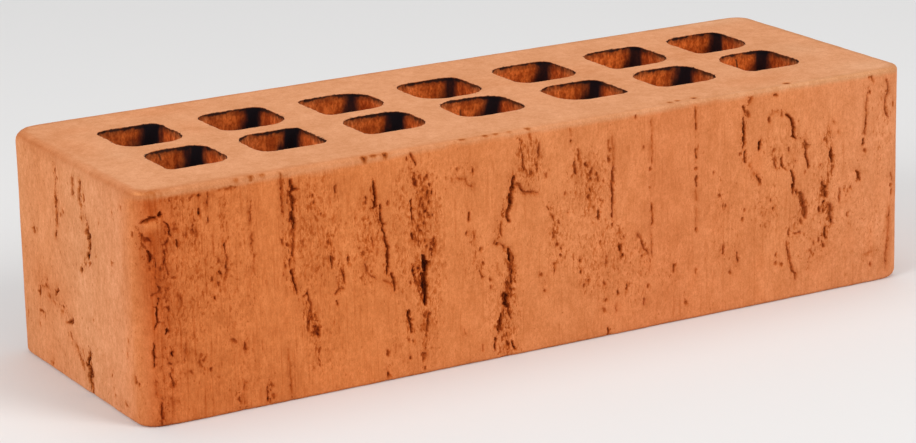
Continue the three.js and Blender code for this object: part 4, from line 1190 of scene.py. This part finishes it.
# ---------------------------------------------------------------------------------------------
# The fired clay
# ---------------------------------------------------------------------------------------------
clay = bpy.data.materials.new("fired_clay")
clay.use_nodes = True
nt = clay.node_tree
nodes, links = nt.nodes, nt.links
nodes.clear()
out = nodes.new("ShaderNodeOutputMaterial")
bsdf = nodes.new("ShaderNodeBsdfPrincipled")
links.new(bsdf.outputs[0], out.inputs[0])
bsdf.inputs["Specular IOR Level"].default_value = 0.12
bsdf.inputs["IOR"].default_value = 1.45


def attr(name):
    n = nodes.new("ShaderNodeAttribute")
    n.attribute_type = "GEOMETRY"
    n.attribute_name = name
    return n


def put(socket, value):
    if isinstance(value, (int, float)):
        socket.default_value = value
    elif isinstance(value, tuple):
        socket.default_value = value if len(value) == len(socket.default_value) else value + (1.0,)
    else:
        links.new(value, socket)


def math_(op, a, b=0.0, clamp=False):
    n = nodes.new("ShaderNodeMath")
    n.operation = op
    n.use_clamp = clamp
    put(n.inputs[0], a)
    put(n.inputs[1], b)
    return n.outputs[0]


def mix(kind_, fac, a, b):
    n = nodes.new("ShaderNodeMix")
    n.data_type = "RGBA"
    n.blend_type = kind_
    n.clamp_factor = True
    put(n.inputs[0], fac)
    put(n.inputs[6], a)
    put(n.inputs[7], b)
    return n.outputs[2]


def band(value, lo, hi, a=0.0, b=1.0):
    n = nodes.new("ShaderNodeMapRange")
    n.interpolation_type = "SMOOTHSTEP"
    put(n.inputs[0], value)
    for k, x in enumerate((lo, hi, a, b)):
        n.inputs[1 + k].default_value = x
    return n.outputs[0]


coords = nodes.new("ShaderNodeTexCoord").outputs["Object"]


def noise(scale, detail=2.0, rough=0.5, shift=0.0):
    """Noise whose cells are about 1 / scale millimetres along x, y and z."""
    m = nodes.new("ShaderNodeMapping")
    links.new(coords, m.inputs[0])
    m.inputs["Scale"].default_value = tuple(1000.0 * s for s in scale)
    m.inputs["Location"].default_value = (shift, shift * .7, shift * 1.3)
    n = nodes.new("ShaderNodeTexNoise")
    links.new(m.outputs[0], n.inputs["Vector"])
    n.inputs["Scale"].default_value = 1.0
    n.inputs["Detail"].default_value = detail
    n.inputs["Roughness"].default_value = rough
    return n.outputs["Fac"]


tone_c = attr("tone").outputs["Color"]
tear_f, stain_f, bark_f = attr("tear").outputs["Fac"], attr("stain").outputs["Fac"], attr("bark").outputs["Fac"]
scar_f, peck_f = attr("scar").outputs["Fac"], attr("peck").outputs["Fac"]
bed_f, core_f, painted_corner_shade_f = attr("bed").outputs["Fac"], attr("core").outputs["Fac"], attr("painted_corner_shade").outputs["Fac"]

grain = noise((2.6, 2.6, 2.0), 3, .62, 3.1)               # sand and clay grains
blotch = noise((.11, .11, .09), 3, .55, 11.3)             # broad firing mottle
cloud = noise((.38, .38, .20), 3, .6, 7.9)                # mottle a few millimetres wide
streaks = noise((1.0, 1.0, .12), 3, .55, 21.7)            # the bark's upright grain
hairs = noise((1.6, 1.6, .045), 1, .5, 35.0)              # long thin upright lines
granule = noise((1.15, 1.15, .75), 2, .55, 58.0)          # mottle about a millimetre wide
crumbs = noise((.9, .9, .4), 2, .5, 64.0)                 # how deep each crumb went
wobble = noise((1.6, 1.6, 1.1), 2, .5, 80.0)


def pecks(size, tall, reach, shift):
    """Small upright pecks, one in each cell of a scattered lattice; reach is how far one spreads, in cells."""
    m = nodes.new("ShaderNodeMapping")
    links.new(coords, m.inputs[0])
    m.inputs["Scale"].default_value = (1000.0 / size, 1000.0 / size, 1000.0 / (size * tall))
    m.inputs["Location"].default_value = (shift, shift * .6, shift * 1.7)
    v = nodes.new("ShaderNodeTexVoronoi")
    v.feature = "F1"
    links.new(m.outputs[0], v.inputs["Vector"])
    v.inputs["Scale"].default_value = 1.0
    d = math_("ADD", v.outputs["Distance"], math_("MULTIPLY", math_("SUBTRACT", wobble, .5), .55))
    rand = nodes.new("ShaderNodeSeparateColor")
    links.new(v.outputs["Color"], rand.inputs[0])
    room = math_("MULTIPLY", math_("ADD", math_("MULTIPLY", peck_f, .75), .12), math_("ADD", math_("MULTIPLY", rand.outputs[0], .9), .25))
    inner = math_("SUBTRACT", math_("MULTIPLY", room, reach), d)
    return math_("MULTIPLY", band(inner, -.04, .16), math_("ADD", math_("MULTIPLY", rand.outputs[1], .6), .4))


def flecks(field, need, soft):
    """Crisp little patches where the noise field tops a threshold that falls as the need rises."""
    t = math_("SUBTRACT", .7175, math_("MULTIPLY", need, .261))
    return math_("DIVIDE", math_("SUBTRACT", field, t), soft, clamp=True)


# How dark each place is, 0 for the plain skin to 1 for the bottom of a deep tear
need = math_("ADD", scar_f, math_("MULTIPLY", peck_f, .70), clamp=True)
chips = flecks(noise((1.20, 1.20, .66), 2, .5, 47.0), need, .05)       # torn-out crumbs, about 0.6 by 1.5 mm
nicks = flecks(noise((2.2, 2.2, .95), 2, .5, 53.0), need, .05)         # finer ones
depth_n = band(crumbs, .36, .64, .40, 1.1)
scar_d = math_("MULTIPLY", math_("MULTIPLY", chips, depth_n), math_("ADD", math_("MULTIPLY", scar_f, .80), .24))
nick_d = math_("MULTIPLY", math_("MULTIPLY", nicks, depth_n), math_("ADD", math_("MULTIPLY", scar_f, .40), .20))
tint_d = math_("MULTIPLY", scar_f, .16)
peck_d = math_("MULTIPLY", pecks(1.25, 2.2, .52, 4.0), .20)
streak_d = math_("MULTIPLY", math_("MULTIPLY", band(streaks, .52, .70), bark_f), .13)
hair_d = math_("MULTIPLY", math_("MULTIPLY", band(hairs, .60, .72), bark_f), .16)
# the tears' dark insides: dark clay with painted shade
tear_d = math_("MULTIPLY", tear_f, band(noise((1.6, 1.6, .7), 2, .5, 70.0), .38, .58, .70, 1.04))
stain_d = math_("MULTIPLY", stain_f, band(streaks, .30, .62, .45, 1.1))


def screen(*values):
    """1 - (1 - a)(1 - b)..."""
    total = None
    for v in values:
        inv = math_("SUBTRACT", 1.0, v, clamp=True)
        total = inv if total is None else math_("MULTIPLY", total, inv)
    return math_("SUBTRACT", 1.0, total, clamp=True)


darkness = screen(scar_d, nick_d, tint_d, peck_d, streak_d, hair_d, tear_d, stain_d)
ramp_n = nodes.new("ShaderNodeValToRGB")
links.new(darkness, ramp_n.inputs[0])
stops = [(0.0, (1, 1, 1)), (.30, (.74, .53, .31)), (.60, (.44, .215, .054)), (.82, (.215, .080, .016)), (1.0, (.034, .016, .018))]
while len(ramp_n.color_ramp.elements) < len(stops):
    ramp_n.color_ramp.elements.new(.5)
for e, (p, c) in zip(ramp_n.color_ramp.elements, stops):
    e.position, e.color = p, c + (1.0,)
colour = mix("MULTIPLY", 1.0, tone_c, ramp_n.outputs[0])
# mottle and grains
granule_m = mix("MIX", band(granule, .36, .64), (.945, .910, .86), (1.042, 1.066, 1.105))
colour = mix("MULTIPLY", math_("ADD", .55, math_("MULTIPLY", peck_f, .75), clamp=True), colour, granule_m)
mottle = noise((.62, .62, .42), 2, .55, 130.0)                # soft spots a couple of millimetres wide
mottle_m = mix("MIX", band(mottle, .36, .64), (.935, .90, .845), (1.035, 1.06, 1.09))
colour = mix("MULTIPLY", math_("ADD", math_("ADD", math_("MULTIPLY", bark_f, .45), .28), math_("MULTIPLY", peck_f, .45), clamp=True), colour, mottle_m)
colour = mix("MULTIPLY", 1.0, colour, mix("MIX", band(blotch, .32, .68), (.95, .93, .89), (1.04, 1.06, 1.08)))
cloud_m = mix("MIX", band(cloud, .30, .70), (.955, .93, .885), (1.04, 1.065, 1.10))
colour = mix("MULTIPLY", mix("MIX", bed_f, (.9, .9, .9), (.85, .85, .85)), colour, cloud_m)
grain_m = mix("MIX", band(grain, .28, .72), (.91, .88, .82), (1.07, 1.105, 1.16))
colour = mix("MULTIPLY", mix("MIX", bed_f, (.9, .9, .9), (.85, .85, .85)), colour, grain_m)
# core walls and the painted shade in one upright corner of each core
wall = mix("MULTIPLY", 1.0, colour, mix("MIX", band(noise((.50, .50, .26), 2, .5, 90.0), .36, .62), (.70, .57, .44), (1.12, 1.14, 1.18)))
wall = mix("MULTIPLY", 1.0, wall, mix("MIX", band(noise((1.5, 1.5, .9), 2, .5, 96.0), .36, .62), (.76, .65, .50), (1.12, 1.15, 1.20)))
colour = mix("MIX", core_f, colour, wall)
# the ragged dark line just inside each rim, partly a burnt burr and partly painted shadow under the lip, with little
# teeth that run out on to the bed
rim_f, line_f = attr("rim").outputs["Fac"], attr("line").outputs["Fac"]
xyz_o = nodes.new("ShaderNodeSeparateXYZ")
links.new(coords, xyz_o.inputs[0])
below = math_("MULTIPLY", math_("MINIMUM", math_("SUBTRACT", .065, xyz_o.outputs[2]), xyz_o.outputs[2]), 1000.0)
tooth = noise((.30, .30, .12), 1, .5, 110.0)
ragged = noise((.95, .95, .75), 2, .55, 116.0)
thick_f = attr("thick").outputs["Fac"]
deep_to = math_("MULTIPLY", thick_f, math_("ADD", band(tooth, .36, .62, .52, 1.06), math_("MULTIPLY", math_("SUBTRACT", ragged, .5), .80)))
past = math_("SUBTRACT", below, deep_to)
beyond = math_("SUBTRACT", math_("MULTIPLY", math_("SUBTRACT", 1.0, rim_f), .60), band(ragged, .46, .66, 0.0, .36))
on_line = band(line_f, 0.0, .3)
from_edge = math_("ADD", below, math_("MULTIPLY", math_("SUBTRACT", ragged, .5), .9))
rim_burr_and_shadow_d = math_("MULTIPLY", math_("MULTIPLY", band(past, -.28, .36, 1.0, 0.0), band(from_edge, .06, .36)), band(beyond, 0.0, .10, 1.0, 0.0))
rim_burr_and_shadow_d = math_("MULTIPLY", rim_burr_and_shadow_d, math_("MULTIPLY", on_line, band(tooth, .30, .46, .84, .96)))
# painted shade: a browner fade below it
rim_painted_shade_d = math_("MULTIPLY", math_("MULTIPLY", band(below, .9, 2.7, .46, 0.0), math_("MULTIPLY", on_line, band(line_f, 1.0, 1.3, 1.0, 1.25))), math_("MULTIPLY", core_f, band(ragged, .38, .60, .75, 1.15)))
colour = mix("MIX", rim_painted_shade_d, colour, (.055, .020, .008))
colour = mix("MIX", rim_burr_and_shadow_d, colour, mix("MIX", band(line_f, 1.05, 1.5), (.030, .012, .008), (.100, .026, .008)))
# a few upright grooves on the far walls: (x, lean per mm, first and last depth, y of the wall)
for gx, lean, d0, d1, wall_y in ((93.5, .17, 1.8, 5.9, -.7), (-3.5, .10, 3.2, 5.4, -1.7), (-100.0, .3, 1.0, 3.3, -3.6)):
    across = math_("SUBTRACT", math_("MULTIPLY", xyz_o.outputs[0], 1000.0), math_("ADD", math_("MULTIPLY", math_("SUBTRACT", below, d0), lean), gx))
    across = math_("ADD", math_("ABSOLUTE", across), math_("MULTIPLY", math_("SUBTRACT", ragged, .5), .5))
    along = math_("ABSOLUTE", math_("SUBTRACT", below, (d0 + d1) / 2))
    near_wall = math_("ABSOLUTE", math_("SUBTRACT", math_("MULTIPLY", xyz_o.outputs[1], 1000.0), wall_y))
    groove = math_("MULTIPLY", math_("MULTIPLY", band(across, .10, .48, 1.0, 0.0), band(along, (d1 - d0) / 2 - .5, (d1 - d0) / 2 + .3, 1.0, 0.0)), band(near_wall, 1.3, 1.6, .8, 0.0))
    colour = mix("MIX", groove, colour, (.045, .014, .007))
# painted shade: the near-black band in one upright corner of each core
round_n = math_("ADD", painted_corner_shade_f, math_("MULTIPLY", math_("SUBTRACT", noise((.40, .40, .12), 2, .5, 122.0), .5), 1.3))
painted_corner_shade_d = math_("MULTIPLY", math_("MULTIPLY", band(round_n, .34, 1.50, 1.0, 0.0), core_f), attr("painted_corner_shade_k").outputs["Fac"])
colour = mix("MIX", painted_corner_shade_d, colour, (.0078, .0050, .0068))
links.new(colour, bsdf.inputs["Base Color"])

links.new(band(grain, .2, .8, .84, .98), bsdf.inputs["Roughness"])

height = math_("ADD", math_("MULTIPLY", grain, .55), math_("MULTIPLY", math_("MULTIPLY", streaks, bark_f), 1.1))
height = math_("ADD", height, math_("MULTIPLY", math_("MULTIPLY", hairs, bark_f), .7))
height = math_("SUBTRACT", height, math_("MULTIPLY", math_("ADD", scar_d, nick_d), .9))
bump = nodes.new("ShaderNodeBump")
bump.inputs["Strength"].default_value = 0.55
bump.inputs["Distance"].default_value = 0.00022
links.new(height, bump.inputs["Height"])
links.new(bump.outputs[0], bsdf.inputs["Normal"])
me.materials.append(clay)

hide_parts("brick_body")
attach(brick, "root")

# ---------------------------------------------------------------------------------------------
# Studio: pale floor, soft light, the camera
# ---------------------------------------------------------------------------------------------
def plain(name, rgb, rough):
    m = bpy.data.materials.new(name)
    m.use_nodes = True
    b = m.node_tree.nodes["Principled BSDF"]
    b.inputs["Base Color"].default_value = rgb + (1.0,)
    b.inputs["Roughness"].default_value = rough
    b.inputs["Specular IOR Level"].default_value = 0.1
    return m


floor_mesh = bpy.data.meshes.new("floor")
S = 30.0
floor_mesh.from_pydata([(-S, -S, 0), (S, -S, 0), (S, S, 0), (-S, S, 0)], [], [(0, 1, 2, 3)])
floor = bpy.data.objects.new("floor", floor_mesh)
floor_mesh.materials.append(plain("studio_floor", (.80, .79, .77), .9))
bpy.context.scene.collection.objects.link(floor)

scene = bpy.context.scene
world = bpy.data.worlds.new("studio")
scene.world = world
world.use_nodes = True
world.node_tree.nodes["Background"].inputs[0].default_value = (.95, .96, 1.0, 1.0)
world.node_tree.nodes["Background"].inputs[1].default_value = 0.50
scene.view_settings.view_transform = "Standard"
scene.view_settings.look = "None"
scene.view_settings.exposure = 0.0
scene.view_settings.gamma = 1.0


def softbox(name, place, aim, size, watts):
    light = bpy.data.lights.new(name, "AREA")
    light.shape = "DISK"
    light.size = size
    light.energy = watts
    o = bpy.data.objects.new(name, light)
    o.location = place
    o.rotation_euler = (Vector(aim) - Vector(place)).to_track_quat("-Z", "Y").to_euler()
    scene.collection.objects.link(o)
    return o


softbox("key", (0.75, -1.35, 1.05), (0, 0, .03), 0.9, 15.5)
softbox("fill", (-1.5, -0.35, 0.85), (0, 0, .03), 1.1, 13.0)
softbox("overhead", (0.1, 0.25, 1.5), (0, 0, .03), 0.9, 4.0)

# The camera stands 0.96 m off, 29.7 degrees left of square on to the front and 16 degrees up.
az, el, roll = math.radians(-29.703), math.radians(16.077), math.radians(-1.306)
dist, focal, tx, ty = 0.960368, 3271.436, -0.004342, 0.026263
back = Vector((math.sin(az) * math.cos(el), -math.cos(az) * math.cos(el), math.sin(el)))
right = (-back).cross(Vector((0, 0, 1))).normalized()
up = right.cross(-back)
right2 = right * math.cos(roll) + up * math.sin(roll)
up2 = up * math.cos(roll) - right * math.sin(roll)
where = back * dist + right2 * tx + up2 * ty
cam_data = bpy.data.cameras.new("camera")
cam_data.sensor_fit = "HORIZONTAL"
cam_data.sensor_width = 36.0
cam_data.lens = focal / 916.0 * 36.0
cam_data.clip_start, cam_data.clip_end = 0.01, 200.0
camera = bpy.data.objects.new("camera", cam_data)
camera.matrix_world = Matrix(((right2.x, up2.x, back.x, where.x), (right2.y, up2.y, back.y, where.y), (right2.z, up2.z, back.z, where.z), (0, 0, 0, 1)))
scene.collection.objects.link(camera)
scene.camera = camera

bpy.context.view_layer.update()
